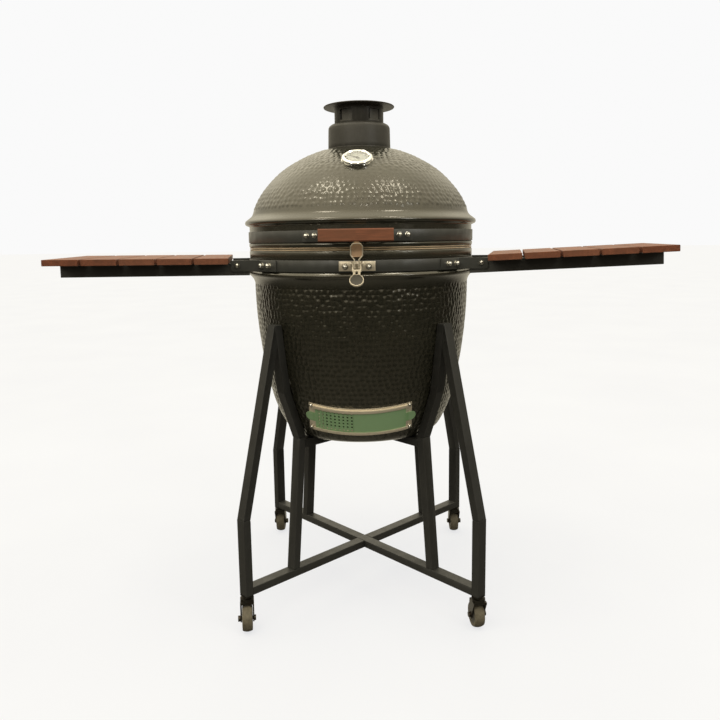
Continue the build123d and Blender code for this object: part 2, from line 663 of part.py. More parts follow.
right_pair = [shelf_bracket(side) for side in (1, -1)]
pieces = right_pair + [mirror(piece, about=Plane.YZ) for piece in right_pair]
with BuildPart() as shelf_brackets:
    add(pieces)
shelf_brackets.part.label = "shelf_brackets"
export_step(shelf_brackets.part, "parts/shelf_brackets.step")

right_pair = [shelf_pin(side) for side in (1, -1)]
pieces = right_pair + [mirror(piece, about=Plane.YZ) for piece in right_pair]
with BuildPart() as shelf_hinge_pins:
    add(pieces)
shelf_hinge_pins.part.label = "shelf_hinge_pins"
export_step(shelf_hinge_pins.part, "parts/shelf_hinge_pins.step")

for name in ("left", "right"):
    tubes = shelf_arms(SHELF_TILT[name])
    boards = shelf_slats(SHELF_TILT[name])
    if name == "left":
        tubes = [mirror(tube, about=Plane.YZ) for tube in tubes]
        boards = [mirror(board, about=Plane.YZ) for board in boards]
    with BuildPart() as arms:
        add(tubes)
    arms.part.label = f"shelf_arms_{name}"
    export_step(arms.part, f"parts/shelf_arms_{name}.step")
    with BuildPart() as slats:
        add(boards)
    slats.part.label = f"shelf_slats_{name}"
    export_step(slats.part, f"parts/shelf_slats_{name}.step")

# ---------------------------------------------------------------- rear hinge of the lid
ARM_T = 6.0
UPPER_X, LOWER_X = 38.0, 58.0
PIVOT = (HINGE_Y, HINGE_Z)


def hinge_arm(x, points, bore):
    """Upright plate at x with a round eye on the hinge axis."""
    plane = Plane.YZ.offset(x - ARM_T / 2)
    face = make_face(Polyline(*points, points[0]))
    body = extrude(plane * face, ARM_T)
    eye = cross_rod(x - ARM_T / 2, x + ARM_T / 2, HINGE_Y, HINGE_Z, 12.0)
    body = body + eye
    return body - cross_rod(x - 20, x + 20, HINGE_Y, HINGE_Z, bore)


upper_pts = ((280.0, 937.0), (280.0, 956.0), (300.0, 956.0), (338.0, 943.0), (332.0, 921.0),
             (300.0, 937.0))
pieces = [arc_band(BAND_R, STRAP_R, UPPER_BAND[0] + 1, UPPER_BAND[1] - 1, 171.5, 188.5)]
for x in (-UPPER_X, UPPER_X):
    pieces.append(hinge_arm(x, upper_pts, HINGE_PIN_R + 0.06) - ring(1, BAND_R, 900, 980))
with BuildPart() as hinge_upper_bracket:
    add(pieces)
hinge_upper_bracket.part.label = "hinge_upper_bracket"
export_step(hinge_upper_bracket.part, "parts/hinge_upper_bracket.step")

lower_pts = ((270.0, 868.0), (270.0, 889.0), (305.0, 889.0), (323.5, 934.0), (345.0, 926.0),
             (318.0, 868.0))
pieces = [arc_band(BAND_R, STRAP_R, LOWER_BAND[0] + 0.5, LOWER_BAND[1] - 0.5, 166.5, 193.5)]
for x in (-LOWER_X, LOWER_X):
    pieces.append(hinge_arm(x, lower_pts, HINGE_PIN_R) - ring(1, BAND_R, 800, 980))
with BuildPart() as hinge_lower_bracket:
    add(pieces)
hinge_lower_bracket.part.label = "hinge_lower_bracket"
export_step(hinge_lower_bracket.part, "parts/hinge_lower_bracket.step")

end = LOWER_X + ARM_T / 2
pieces = [cross_rod(-end - 1, end + 1, HINGE_Y, HINGE_Z, HINGE_PIN_R)]
pieces += [cross_rod(x0, x0 + 6, HINGE_Y, HINGE_Z, 9.0) for x0 in (-end - 6, end)]
with BuildPart() as hinge_pin:
    add(pieces)
hinge_pin.part.label = "hinge_pin"
export_step(hinge_pin.part, "parts/hinge_pin.step")

coil_r, wire_r, turns, pitch = 8.6, 2.0, 10, 5.0
span = turns * pitch
coil = Helix(pitch, span, coil_r, center=(-span / 2, HINGE_Y, HINGE_Z), direction=(1, 0, 0))
with BuildPart() as hinge_spring:
    with BuildSketch(Plane(origin=coil @ 0, z_dir=coil % 0)):
        Circle(wire_r)
    sweep(path=coil, is_frenet=True)
hinge_spring.part.label = "hinge_spring"
export_step(hinge_spring.part, "parts/hinge_spring.step")

# ---------------------------------------------------------------- handle
HANDLE_NUT_AZ = (18.9, 22.7)
ARM_X = 64.0
grip_back = GRIP_Y + GRIP_D
pieces = []
for s in (-1, 1):
    az = sorted((s * 12.0, s * 25.0))
    body = arc_band(BAND_R, STRAP_R, UPPER_BAND[0] + 1.5, UPPER_BAND[1] - 1.5, *az)
    x_arm = sorted((s * (ARM_X - 2), s * (ARM_X + 2)))
    x_lug = sorted((s * (ARM_X - 24), s * (ARM_X + 2)))
    arm = box_between(*x_arm, grip_back, -270.0, 936.0, 958.0) - ring(1, BAND_R, 900, 980)
    lug = box_between(*x_lug, grip_back, grip_back + 3.5, 936.0, 958.0)
    pieces.append(body + arm + lug)
with BuildPart() as handle_brackets:
    add(pieces)
handle_brackets.part.label = "handle_brackets"
export_step(handle_brackets.part, "parts/handle_brackets.step")

grip_block = Pos(0, GRIP_Y + GRIP_D / 2, GRIP_Z) * Box(GRIP_L, GRIP_D, GRIP_H)
with BuildPart() as handle_grip:
    add(grip_block)
    chamfer(handle_grip.edges().filter_by(Axis.X), 2.5)
handle_grip.part.label = "handle_grip"
export_step(handle_grip.part, "parts/handle_grip.step")

head_y = grip_back + 3.5
pieces = []
for x in (14.0 - ARM_X, ARM_X - 14.0):
    for z in (GRIP_Z - 6, GRIP_Z + 6):
        pieces.append(rod((x, head_y, z), (x, head_y + 2.5, z), 3.8))
with BuildPart() as handle_screws:
    add(pieces)
handle_screws.part.label = "handle_screws"
export_step(handle_screws.part, "parts/handle_screws.step")

small_nut = dome_nut(0.92)
pieces = []
for s in (-1, 1):
    for az in HANDLE_NUT_AZ:
        pieces.append(radial_plane(STRAP_R, s * az, 947.5) * small_nut)
    pieces.append(radial_plane(STRAP_R, 180 + s * 3.0, 946.0) * small_nut)
with BuildPart() as upper_nuts:
    add(pieces)
upper_nuts.part.label = "upper_nuts"
export_step(upper_nuts.part, "parts/upper_nuts.step")

nut = dome_nut()
pieces = []
for s in (-1, 1):
    for az in NUT_AZ:
        pieces.append(radial_plane(STRAP_R, s * az, 878.5) * nut)
        pieces.append(radial_plane(STRAP_R, s * (2 * SHELF_AZ - az), 878.5) * nut)
    pieces.append(radial_plane(STRAP_R, s * 5.1, 877.5) * nut)
    pieces.append(radial_plane(STRAP_R, 180 + s * 6.5, 878.0) * nut)
with BuildPart() as lower_nuts:
    add(pieces)
lower_nuts.part.label = "lower_nuts"
export_step(lower_nuts.part, "parts/lower_nuts.step")

# ---------------------------------------------------------------- latch
EAR_X = (11.0, 13.4)
base_solid = arc_band(BAND_R, STRAP_R, 867.5, 889.5, -8.0, 8.0)
for s in (-1, 1):
    x0, x1 = sorted((s * EAR_X[0], s * EAR_X[1]))
    ear = box_between(x0, x1, LEVER_Y, -290.0, LEVER_Z - 6, LEVER_Z + 5)
    ear += cross_rod(x0, x1, LEVER_Y, LEVER_Z, 5.0)
    ear -= ring(1, BAND_R, 860, 900)
    base_solid += ear - cross_rod(x0 - 1, x1 + 1, LEVER_Y, LEVER_Z, 2.06)
with BuildPart() as latch_base:
    add(base_solid)
latch_base.part.label = "latch_base"
export_step(latch_base.part, "parts/latch_base.step")

LEVER_DIR = Vector(0, KNOB_Y - BAIL_Y, KNOB_Z - BAIL_Z).normalized()
KNOB_PLANE = Plane(origin=(0, KNOB_Y, KNOB_Z), x_dir=(1, 0, 0), z_dir=(0, LEVER_DIR.Z, -LEVER_DIR.Y))
SIDE_X0, SIDE_X1 = 7.6, 10.0
YOKE_Y, YOKE_Z = -315.0, 869.0

knob_end = (KNOB_Y - 11 * LEVER_DIR.Y, KNOB_Z - 11 * LEVER_DIR.Z)
lever_solid = cross_rod(-EAR_X[1] - 1.5, EAR_X[1] + 1.5, LEVER_Y, LEVER_Z, 2.0)
lever_solid += cross_rod(-SIDE_X1, SIDE_X1, YOKE_Y, YOKE_Z, 3.0)
for s in (-1, 1):
    x0, x1 = sorted((s * SIDE_X0, s * SIDE_X1))
    face = make_face(Polyline((LEVER_Y + 3.6, LEVER_Z), (LEVER_Y - 1.0, LEVER_Z + 3.6),
                              (BAIL_Y - 4.2, BAIL_Z + 0.5), (YOKE_Y - 3.0, YOKE_Z - 2.0),
                              (YOKE_Y + 3.6, YOKE_Z - 3.4), (BAIL_Y + 4.0, BAIL_Z - 1.0),
                              (LEVER_Y + 3.6, LEVER_Z)))
    cheek = extrude(Plane.YZ.offset(x0) * face, x1 - x0)
    cheek -= cross_rod(x0 - 1, x1 + 1, BAIL_Y, BAIL_Z, 1.56)
    lever_solid += cheek
    lever_solid += rod((s * 5.5, YOKE_Y, YOKE_Z), (s * 5.5, *knob_end), 3.0)
lever_solid += KNOB_PLANE * Pos(0, 0, -2.5) * Cylinder(16.0, 5.0)
lever_solid -= KNOB_PLANE * Pos(0, 0, 1.0) * Cylinder(14.2, 5.0)
with BuildPart() as latch_lever:
    add(lever_solid)
latch_lever.part.label = "latch_lever"
export_step(latch_lever.part, "parts/latch_lever.step")

knob_solid = KNOB_PLANE * Pos(0, 0, -0.6) * Cylinder(14.2, 1.8)
with BuildPart() as latch_knob:
    add(knob_solid)
latch_knob.part.label = "latch_knob"
export_step(latch_knob.part, "parts/latch_knob.step")

wire = 1.5
top_z, hip_z, waist_z = 928.5, 903.0, 893.0
wide, narrow = 13.2, 5.0
loop_y = -309.8
pts = [(BAIL_Y, BAIL_Z, narrow), (-310.4, waist_z, narrow), (loop_y, hip_z, wide),
       (loop_y, top_z - 6.0, wide), (loop_y, top_z, wide - 6.0)]
bail_solid = cross_rod(-wide + 6.0, wide - 6.0, loop_y, top_z, wire)
for s in (-1, 1):
    for (y0, z0, x0), (y1, z1, x1) in zip(pts[:-1], pts[1:]):
        bail_solid += rod((s * x0, y0, z0), (s * x1, y1, z1), wire)
        bail_solid += Pos(s * x1, y1, z1) * Sphere(wire)
    stub = sorted((s * (narrow - 1.5), s * (SIDE_X1 + 1.0)))
    bail_solid += cross_rod(*stub, BAIL_Y, BAIL_Z, wire)
with BuildPart() as latch_bail:
    add(bail_solid)
latch_bail.part.label = "latch_bail"
export_step(latch_bail.part, "parts/latch_bail.step")

tongue_y = -306.0
neck = box_between(-5.5, 5.5, tongue_y, -285.0, 940.0, 943.5) - ring(1, BAND_R, 900, 980)
catch_solid = arc_band(BAND_R, STRAP_R, 934.0, 957.0, -4.5, 4.5) + neck
catch_solid += box_between(-5.5, 5.5, tongue_y, tongue_y + 3.0, 925.0, 943.5)
with BuildPart() as latch_catch:
    add(catch_solid)
    with BuildSketch(Plane.XZ.offset(-tongue_y - 3.0)):
        with Locations((0, 914.5)):
            RectangleRounded(23.4, 31.0, 5.0)
    extrude(amount=3.0)
latch_catch.part.label = "latch_catch"
export_step(latch_catch.part, "parts/latch_catch.step")

# ---------------------------------------------------------------- vent
dome_ball = Pos(0, 0, CROWN_Z) * Sphere(CROWN_R)
vent_gasket_solid = ring(CHIMNEY_R, COLLAR_R + 0.6, CROWN_FLAT_Z, COLLAR_Z0)
with BuildPart() as vent_gasket:
    add(vent_gasket_solid)
vent_gasket.part.label = "vent_gasket"
export_step(vent_gasket.part, "parts/vent_gasket.step")


def window_cut(first, r_in, r_out):
    """Ring of windows starting at angle first."""
    cuts = []
    for k in range(WINDOWS):
        a = first + k * 360.0 / WINDOWS
        cuts.append(arc_band(r_in, r_out, WINDOW_Z[0], WINDOW_Z[1], a, a + WINDOW_ARC))
    return cuts


neck_cuts = window_cut(WINDOW_START + WINDOW_OPEN - WINDOW_ARC, NECK_R - 8, NECK_R + 0.2)
with BuildPart() as vent_collar:
    with BuildSketch(Plane.XZ):
        with BuildLine():
            shoulder_r = COLLAR_R - 1.2
            bore_r = SPIGOT_R - 2.5
            Polyline((bore_r, 1142.0), (SPIGOT_R, 1142.0), (SPIGOT_R, COLLAR_Z0),
                     (COLLAR_R, COLLAR_Z0), (shoulder_r, COLLAR_Z1 - 11.0))
            ThreePointArc((shoulder_r, COLLAR_Z1 - 11.0), (shoulder_r - 3.6, COLLAR_Z1 - 3.4),
                          (shoulder_r - 12.0, COLLAR_Z1))
            Polyline((shoulder_r - 12.0, COLLAR_Z1), (NECK_R, COLLAR_Z1), (NECK_R, CAP_Z - 2.0),
                     (bore_r, CAP_Z - 2.0), (bore_r, 1142.0))
        make_face()
    revolve(axis=Axis.Z)
    add(neck_cuts, mode=Mode.SUBTRACT)
vent_collar.part.label = "vent_collar"
export_step(vent_collar.part, "parts/vent_collar.step")

sleeve_cuts = window_cut(WINDOW_START, SLEEVE_R - SLEEVE_T - 0.2, SLEEVE_R + 2)
edge = (CAP_R - 1.5, CAP_Z + 3.8)
top = CAP_Z + 7.4
radius = (edge[0] ** 2 + (top - edge[1]) ** 2) / (2 * (top - edge[1]))
with BuildPart() as vent_cap:
    with BuildSketch(Plane.XZ):
        with BuildLine():
            sleeve_in = SLEEVE_R - SLEEVE_T
            Polyline((0, CAP_Z - 1.2), (sleeve_in, CAP_Z - 1.2), (sleeve_in, COLLAR_Z1 + 0.4),
                     (SLEEVE_R, COLLAR_Z1 + 0.4), (SLEEVE_R, CAP_Z), (CAP_R - 1.5, CAP_Z + 0.6))
            ThreePointArc((CAP_R - 1.5, CAP_Z + 0.6), (CAP_R, CAP_Z + 2.2), (CAP_R - 1.5, CAP_Z + 3.8))
            ThreePointArc(edge, arc_mid(0, top - radius, radius, edge, (0, top)), (0, top))
            Line((0, top), (0, CAP_Z - 1.2))
        make_face()
    revolve(axis=Axis.Z)
    add(sleeve_cuts, mode=Mode.SUBTRACT)
vent_cap.part.label = "vent_cap"
export_step(vent_cap.part, "parts/vent_cap.step")

# ---------------------------------------------------------------- thermometer
up = (Align.CENTER, Align.CENTER, Align.MIN)
with BuildSketch(Plane.XZ) as bezel:
    with BuildLine():
        Polyline((DIAL_R, 5.0), (BEZEL_R - 1.0, 5.0), (BEZEL_R, 6.0))
        ThreePointArc((BEZEL_R, 6.0), (BEZEL_R - 2.5, 10.2), (BEZEL_R - 7.0, 11.5))
        Polyline((BEZEL_R - 7.0, 11.5), (DIAL_R, 9.8), (DIAL_R, 5.0))
    make_face()
case_solid = Pos(0, 0, -3.0) * Cylinder(BEZEL_R + 1.0, 5.5, align=up)
case_solid += Pos(0, 0, 2.5) * Cylinder(BEZEL_R - 4.0, 2.5, align=up)
case_solid += revolve(bezel.sketch, axis=Axis.Z)
case_solid -= Pos(0, 0, 3.2) * Cylinder(DIAL_R, 12.0, align=up)
case_solid -= Cylinder(3.0, 40.0)
case_solid = THERMO * case_solid - dome_ball
with BuildPart() as thermometer_case:
    add(case_solid)
thermometer_case.part.label = "thermometer_case"
export_step(thermometer_case.part, "parts/thermometer_case.step")

dial_solid = Pos(0, 0, 3.2) * Cylinder(DIAL_R, 1.2, align=up)
dial_solid = THERMO * dial_solid
with BuildPart() as thermometer_dial:
    add(dial_solid)
thermometer_dial.part.label = "thermometer_dial"
export_step(thermometer_dial.part, "parts/thermometer_dial.step")

pointer = make_face(Polyline((-6.5, -1.6), (-6.5, 1.6), (21.0, 0.4), (21.0, -0.4), (-6.5, -1.6)))
needle = Pos(0, 0, 5.4) * extrude(pointer, 0.7)
hub = Pos(0, 0, 5.0) * Cylinder(3.0, 1.9, align=up)
needle_solid = THERMO * Rot(0, 0, 150.0) * (needle + hub)
with BuildPart() as thermometer_needle:
    add(needle_solid)
thermometer_needle.part.label = "thermometer_needle"
export_step(thermometer_needle.part, "parts/thermometer_needle.step")

glass_solid = THERMO * Pos(0, 0, 8.0) * Cylinder(DIAL_R, 1.4, align=up)
with BuildPart() as thermometer_glass:
    add(glass_solid)
thermometer_glass.part.label = "thermometer_glass"
export_step(thermometer_glass.part, "parts/thermometer_glass.step")

stem_solid = THERMO * Pos(0, 0, -110.0) * Cylinder(3.0, 113.2, align=up)
with BuildPart() as thermometer_stem:
    add(stem_solid)
thermometer_stem.part.label = "thermometer_stem"
export_step(thermometer_stem.part, "parts/thermometer_stem.step")

# ---------------------------------------------------------------- draft door
SHEET_H = 29.5
frame_solid = draft_arc(228, 242, -DRAFT_HALF_H, DRAFT_HALF_H, -DRAFT_HALF_ARC, DRAFT_HALF_ARC)
frame_solid -= draft_arc(220, 250, -21, 21, -22, 22)
frame_solid -= bowl_fill
for s in (-1, 1):
    wall = sorted((s * 29.9, s * 33.9))
    lip = sorted((s * 26.5, s * 33.9))
    frame_solid += draft_arc(241.5, 247.4, *wall, -28.0, 28.0)
    frame_solid += draft_arc(245.7, 247.4, *lip, -28.0, 28.0)
with BuildPart() as draft_frame:
    add(frame_solid)
draft_frame.part.label = "draft_frame"
export_step(draft_frame.part, "parts/draft_frame.step")

screw_trim = Pos(0, 0, 1.4) * Cylinder(4.4, 5, align=up)
screw = Cylinder(4.4, 1.4, align=up) + (Pos(0, 0, 1.4) * Sphere(3.9) & screw_trim)
pieces = [draft_radial(242.0, a, h) * screw for a in (-29.6, 29.6) for h in (-31.0, 31.0)]
with BuildPart() as draft_screws:
    add(pieces)
draft_screws.part.label = "draft_screws"
export_step(draft_screws.part, "parts/draft_screws.step")


def draft_sheet(rho, a0, a1, tab_side):
    """Curved sheet with a round finger tab at one end."""
    sheet = draft_arc(rho, rho + 1.2, -SHEET_H, SHEET_H, a0, a1)
    end = a1 if tab_side > 0 else a0
    tab_a = tab_side * TAB_ARC
    strip = draft_arc(rho, rho + 1.2, -11.5, 11.5, *sorted((end, tab_a)))
    band = draft_arc(rho, rho + 1.2, -14, 14, *sorted((tab_a - tab_side * 3, tab_a + tab_side * 4)))
    pillar = draft_radial(rho - 8, tab_a, 0) * Cylinder(11.5, 20, align=up)
    return sheet + strip + (band & pillar)


screen_solid = draft_sheet(242.4, -26.8, 3.5, -1)
holes = []
for i in range(HOLE_COLS):
    for j in range(HOLE_ROWS):
        place = draft_radial(236.0, -24.3 + i * 2.45, -22.5 + j * 9.0)
        holes.append(place * Cylinder(HOLE_R, 14, align=up))
screen_solid -= holes
with BuildPart() as draft_screen:
    add(screen_solid)
draft_screen.part.label = "draft_screen"
export_step(draft_screen.part, "parts/draft_screen.step")

door_solid = draft_sheet(244.0, -3.5, 26.8, 1)
with BuildPart() as draft_door:
    add(door_solid)
draft_door.part.label = "draft_door"
export_step(draft_door.part, "parts/draft_door.step")
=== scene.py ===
"""Looks for the kamado grill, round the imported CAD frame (metres, +Z up, front towards -Y)."""
import json
from math import asin, atan2, cos, pi, radians, sin, sqrt

import bpy
import numpy as np
from mathutils import Matrix, Vector
from mathutils.kdtree import KDTree


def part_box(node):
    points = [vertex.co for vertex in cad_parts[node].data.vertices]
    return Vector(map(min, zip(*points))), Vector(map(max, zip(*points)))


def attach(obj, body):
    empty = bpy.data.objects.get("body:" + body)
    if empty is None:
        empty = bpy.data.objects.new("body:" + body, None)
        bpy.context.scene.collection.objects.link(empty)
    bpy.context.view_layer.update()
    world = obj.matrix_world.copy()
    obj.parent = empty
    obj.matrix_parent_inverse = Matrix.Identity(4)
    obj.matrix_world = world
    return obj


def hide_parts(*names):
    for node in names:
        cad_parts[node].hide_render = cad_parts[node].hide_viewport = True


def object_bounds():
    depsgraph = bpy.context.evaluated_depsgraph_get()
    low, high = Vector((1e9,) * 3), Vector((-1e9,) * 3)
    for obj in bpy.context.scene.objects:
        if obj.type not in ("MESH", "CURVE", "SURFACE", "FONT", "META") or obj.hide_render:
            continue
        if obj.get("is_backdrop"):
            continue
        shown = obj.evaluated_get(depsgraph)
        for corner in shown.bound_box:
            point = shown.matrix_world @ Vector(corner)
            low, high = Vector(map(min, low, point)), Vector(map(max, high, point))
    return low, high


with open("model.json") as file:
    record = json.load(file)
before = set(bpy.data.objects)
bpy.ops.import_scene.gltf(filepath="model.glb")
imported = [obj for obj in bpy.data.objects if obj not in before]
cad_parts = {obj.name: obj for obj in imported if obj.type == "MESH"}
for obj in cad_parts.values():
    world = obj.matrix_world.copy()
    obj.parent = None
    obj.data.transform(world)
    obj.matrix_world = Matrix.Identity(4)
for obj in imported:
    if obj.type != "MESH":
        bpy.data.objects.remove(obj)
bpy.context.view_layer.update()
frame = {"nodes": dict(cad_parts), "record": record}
nodes = frame["nodes"]
MM = 0.001


# ---------------------------------------------------------------- node helpers
class Nodes:
    """A material and short calls for the nodes it is made of."""

    def __init__(self, name, **values):
        self.mat = bpy.data.materials.new(name)
        self.mat.use_nodes = True
        self.tree = self.mat.node_tree
        self.bsdf = self.tree.nodes["Principled BSDF"]
        self.set(**values)

    def set(self, **values):
        for key, value in values.items():
            self.bsdf.inputs[key.replace("_", " ")].default_value = value

    def put(self, socket, out):
        self.tree.links.new(out, self.bsdf.inputs[socket])

    def feed(self, socket, value):
        """Links an output to the socket, or sets the socket to a value."""
        if isinstance(value, bpy.types.NodeSocket):
            self.tree.links.new(value, socket)
        else:
            socket.default_value = value

    def node(self, kind, **inputs):
        n = self.tree.nodes.new("ShaderNode" + kind)
        for key, value in inputs.items():
            socket = n.inputs[key]
            self.feed(socket, value)
        return n

    def coords(self, scale=(1, 1, 1), rot=(0, 0, 0), loc=(0, 0, 0)):
        tex = self.node("TexCoord")
        mapping = self.node("Mapping", Vector=tex.outputs["Object"])
        mapping.inputs["Scale"].default_value = scale
        mapping.inputs["Rotation"].default_value = rot
        mapping.inputs["Location"].default_value = loc
        return mapping.outputs["Vector"]

    def noise(self, vec, scale, detail=3.0, rough=0.5, distort=0.0):
        n = self.node("TexNoise", Vector=vec, Scale=scale, Detail=detail, Roughness=rough,
                      Distortion=distort)
        return n.outputs["Fac"]

    def ramp(self, fac, *stops):
        """Stops are (position, colour or grey)."""
        n = self.node("ValToRGB", Fac=fac)
        ramp = n.color_ramp
        while len(ramp.elements) < len(stops):
            ramp.elements.new(0.5)
        for element, (place, value) in zip(ramp.elements, stops):
            element.position = place
            rgb = value if isinstance(value, tuple) else (value,) * 3
            element.color = (*rgb, 1.0)
        return n.outputs["Color"]

    def mix(self, fac, a, b, blend="MIX"):
        n = self.tree.nodes.new("ShaderNodeMix")
        n.data_type = "RGBA"
        n.blend_type = blend
        for socket, value in ((n.inputs[0], fac), (n.inputs[6], a), (n.inputs[7], b)):
            self.feed(socket, (*value, 1.0) if isinstance(value, tuple) else value)
        return n.outputs[2]

    def math(self, op, a, b=0.0, c=0.0):
        n = self.tree.nodes.new("ShaderNodeMath")
        n.operation = op
        for socket, value in zip(n.inputs, (a, b, c)):
            self.feed(socket, value)
        return n.outputs[0]

    def bump(self, *layers):
        """Layers are (height, strength, distance in metres), stacked."""
        normal = None
        for height, strength, distance in layers:
            n = self.node("Bump", Height=height, Strength=strength, Distance=distance)
            if normal is not None:
                self.tree.links.new(normal, n.inputs["Normal"])
            normal = n.outputs["Normal"]
        self.put("Normal", normal)

    def edges(self, low=0.52, high=0.60):
        """White on outward edges, where finishes wear."""
        geo = self.node("NewGeometry")
        return self.ramp(geo.outputs["Pointiness"], (low, 0.0), (high, 1.0))


# ---------------------------------------------------------------- materials
def glaze():
    """Dark olive glaze: mottled, pale flecks, crests rubbed lighter, fine orange peel."""
    m = Nodes("dark_glaze", Specular_IOR_Level=0.95, Specular_Tint=(1.0, 0.95, 0.82, 1.0))
    vec = m.coords()
    tone = m.ramp(m.noise(vec, 9.0, 4.0, 0.6), (0.30, (0.009, 0.009, 0.006)),
                  (0.55, (0.013, 0.013, 0.009)), (0.75, (0.019, 0.018, 0.012)))
    fleck = m.ramp(m.noise(vec, 260.0, 2.0, 0.6), (0.62, 0.0), (0.74, 1.0))
    tone = m.mix(m.math("MULTIPLY", fleck, 0.35), tone, (0.07, 0.060, 0.042))
    crest = m.edges(0.495, 0.53)
    m.put("Base Color", m.mix(m.math("MULTIPLY", crest, 0.30), tone, (0.055, 0.048, 0.034)))
    rough = m.ramp(m.noise(vec, 22.0, 3.0, 0.6), (0.3, 0.17), (0.7, 0.25))
    m.put("Roughness", rough)
    m.bump((m.noise(vec, 420.0, 3.0, 0.6), 0.20, 0.0006), (m.noise(vec, 75.0, 2.0), 0.12, 0.0016))
    return m.mat


def powder_coat(name, tone, rough, dust=0.25, mottle=0.22):
    """Satin dark powder coat: orange peel, faint dust, edges rubbed a little lighter."""
    m = Nodes(name, Specular_IOR_Level=0.5)
    vec = m.coords()
    base = m.ramp(m.noise(vec, 14.0, 4.0, 0.65), (0.3, tuple(c * (1 - mottle) for c in tone)),
                  (0.7, tuple(c * (1 + mottle) for c in tone)))
    speck = m.ramp(m.noise(vec, 330.0, 2.0, 0.7), (0.60, 0.0), (0.75, 1.0))
    base = m.mix(m.math("MULTIPLY", speck, dust), base, (0.11, 0.105, 0.095))
    worn = m.math("MULTIPLY", m.edges(0.53, 0.62), 0.45)
    m.put("Base Color", m.mix(worn, base, (0.10, 0.10, 0.095)))
    m.put("Roughness", m.ramp(m.noise(vec, 40.0, 3.0), (0.3, rough - 0.06), (0.7, rough + 0.08)))
    m.bump((m.noise(vec, 700.0, 2.0, 0.6), 0.22, 0.0004), (m.noise(vec, 60.0, 2.0), 0.08, 0.001))
    return m.mat


def metal(name, tone, rough, scale=(1, 1, 1), grime=(0.10, 0.08, 0.06), dirt=0.3, coarse=500.0,
          metallic=1.0):
    """Bare or plated metal with a brushed or cast grain and some grime in the low spots."""
    m = Nodes(name, Metallic=metallic)
    grain = m.noise(m.coords(scale), coarse, 3.0, 0.6)
    vec = m.coords()
    base = m.ramp(grain, (0.3, tuple(c * 0.82 for c in tone)), (0.7, tone))
    stain = m.ramp(m.noise(vec, 55.0, 5.0, 0.7), (0.50, 0.0), (0.72, 1.0))
    m.put("Base Color", m.mix(m.math("MULTIPLY", stain, dirt), base, grime))
    m.put("Roughness", m.ramp(grain, (0.3, rough - 0.05), (0.7, rough + 0.10)))
    m.bump((grain, 0.10, 0.0003))
    return m.mat


def cast_iron(name, tone, rough=0.55):
    """Dark oiled casting with a fine sandy skin."""
    m = Nodes(name, Metallic=0.35, Specular_IOR_Level=0.5)
    vec = m.coords()
    sand = m.noise(vec, 520.0, 3.0, 0.65)
    base = m.ramp(m.noise(vec, 18.0, 4.0, 0.65), (0.3, tuple(c * 0.75 for c in tone)), (0.7, tone))
    base = m.mix(m.math("MULTIPLY", m.edges(0.52, 0.60), 0.4), base, tuple(c * 2.2 for c in tone))
    m.put("Base Color", base)
    m.put("Roughness", m.ramp(sand, (0.3, rough - 0.08), (0.7, rough + 0.08)))
    m.bump((sand, 0.28, 0.0005), (m.noise(vec, 90.0, 2.0), 0.15, 0.0012))
    return m.mat


BOARD_PITCH, BOARD_START = 0.0814, 0.340      # shelf boards: spacing, and where the first begins


def wood(name, turn, side=0, along="Y"):
    """Red-brown oiled hardwood. side says which shelf (-1, 1): each board has its own shade and
    grain there. With side 0, the grip, the two halves left and right of its middle do."""
    m = Nodes(name, Specular_IOR_Level=0.15)
    vec = m.coords(rot=(0, 0, turn))
    sep = m.node("SeparateXYZ", Vector=vec)
    x, y, z = (sep.outputs[k] for k in "XYZ")
    if side:
        start = m.math("MULTIPLY_ADD", x, side, -BOARD_START)
        board = m.math("FLOOR", m.math("DIVIDE", start, BOARD_PITCH))
    else:
        board = m.math("FLOOR", m.math("MULTIPLY", x, 0.001))
    shift = m.math("MULTIPLY", board, 3.71)
    run, cross = (y, x) if along == "Y" else (x, y)
    fibre = m.node("CombineXYZ", X=cross, Z=m.math("ADD", z, shift),
                   Y=m.math("MULTIPLY", run, 0.055)).outputs[0]
    bands = m.node("CombineXYZ", X=cross, Z=m.math("ADD", z, shift),
                   Y=m.math("MULTIPLY", run, 0.16)).outputs[0]
    grain = m.noise(fibre, 340.0, 4.0, 0.65)
    figure = m.noise(bands, 46.0, 3.0, 0.55, 1.2)
    tint = m.node("TexWhiteNoise", Vector=m.node("CombineXYZ", X=shift).outputs[0])
    base = m.ramp(figure, (0.28, (0.080, 0.019, 0.009)), (0.50, (0.145, 0.036, 0.016)),
                  (0.72, (0.215, 0.063, 0.030)))
    base = m.mix(m.ramp(grain, (0.35, 0.75), (0.62, 0.0)), base, (0.050, 0.014, 0.008))
    pale = m.math("MULTIPLY", tint.outputs["Value"], 0.38)
    base = m.mix(pale, base, (0.190, 0.088, 0.052))
    base = m.mix(m.math("MULTIPLY", m.edges(0.52, 0.60), 0.35), base, (0.34, 0.18, 0.11))
    m.put("Base Color", base)
    m.put("Roughness", m.ramp(grain, (0.3, 0.40), (0.7, 0.58)))
    m.bump((grain, 0.30, 0.0005), (figure, 0.12, 0.0012))
    return m.mat


def felt():
    """Tan felt: fibres, darker scorched patches."""
    m = Nodes("felt", Specular_IOR_Level=0.2, Sheen_Weight=0.4, Sheen_Roughness=0.5)
    vec = m.coords()
    fibre = m.noise(vec, 900.0, 4.0, 0.75)
    base = m.ramp(m.noise(vec, 26.0, 4.0, 0.6), (0.3, (0.30, 0.22, 0.14)),
                  (0.7, (0.50, 0.39, 0.25)))
    m.put("Base Color", m.mix(m.ramp(fibre, (0.35, 0.5), (0.6, 0.0)), base, (0.20, 0.14, 0.085)))
    m.put("Roughness", m.ramp(fibre, (0.3, 0.85), (0.7, 1.0)))
    m.bump((fibre, 0.7, 0.0009))
    return m.mat


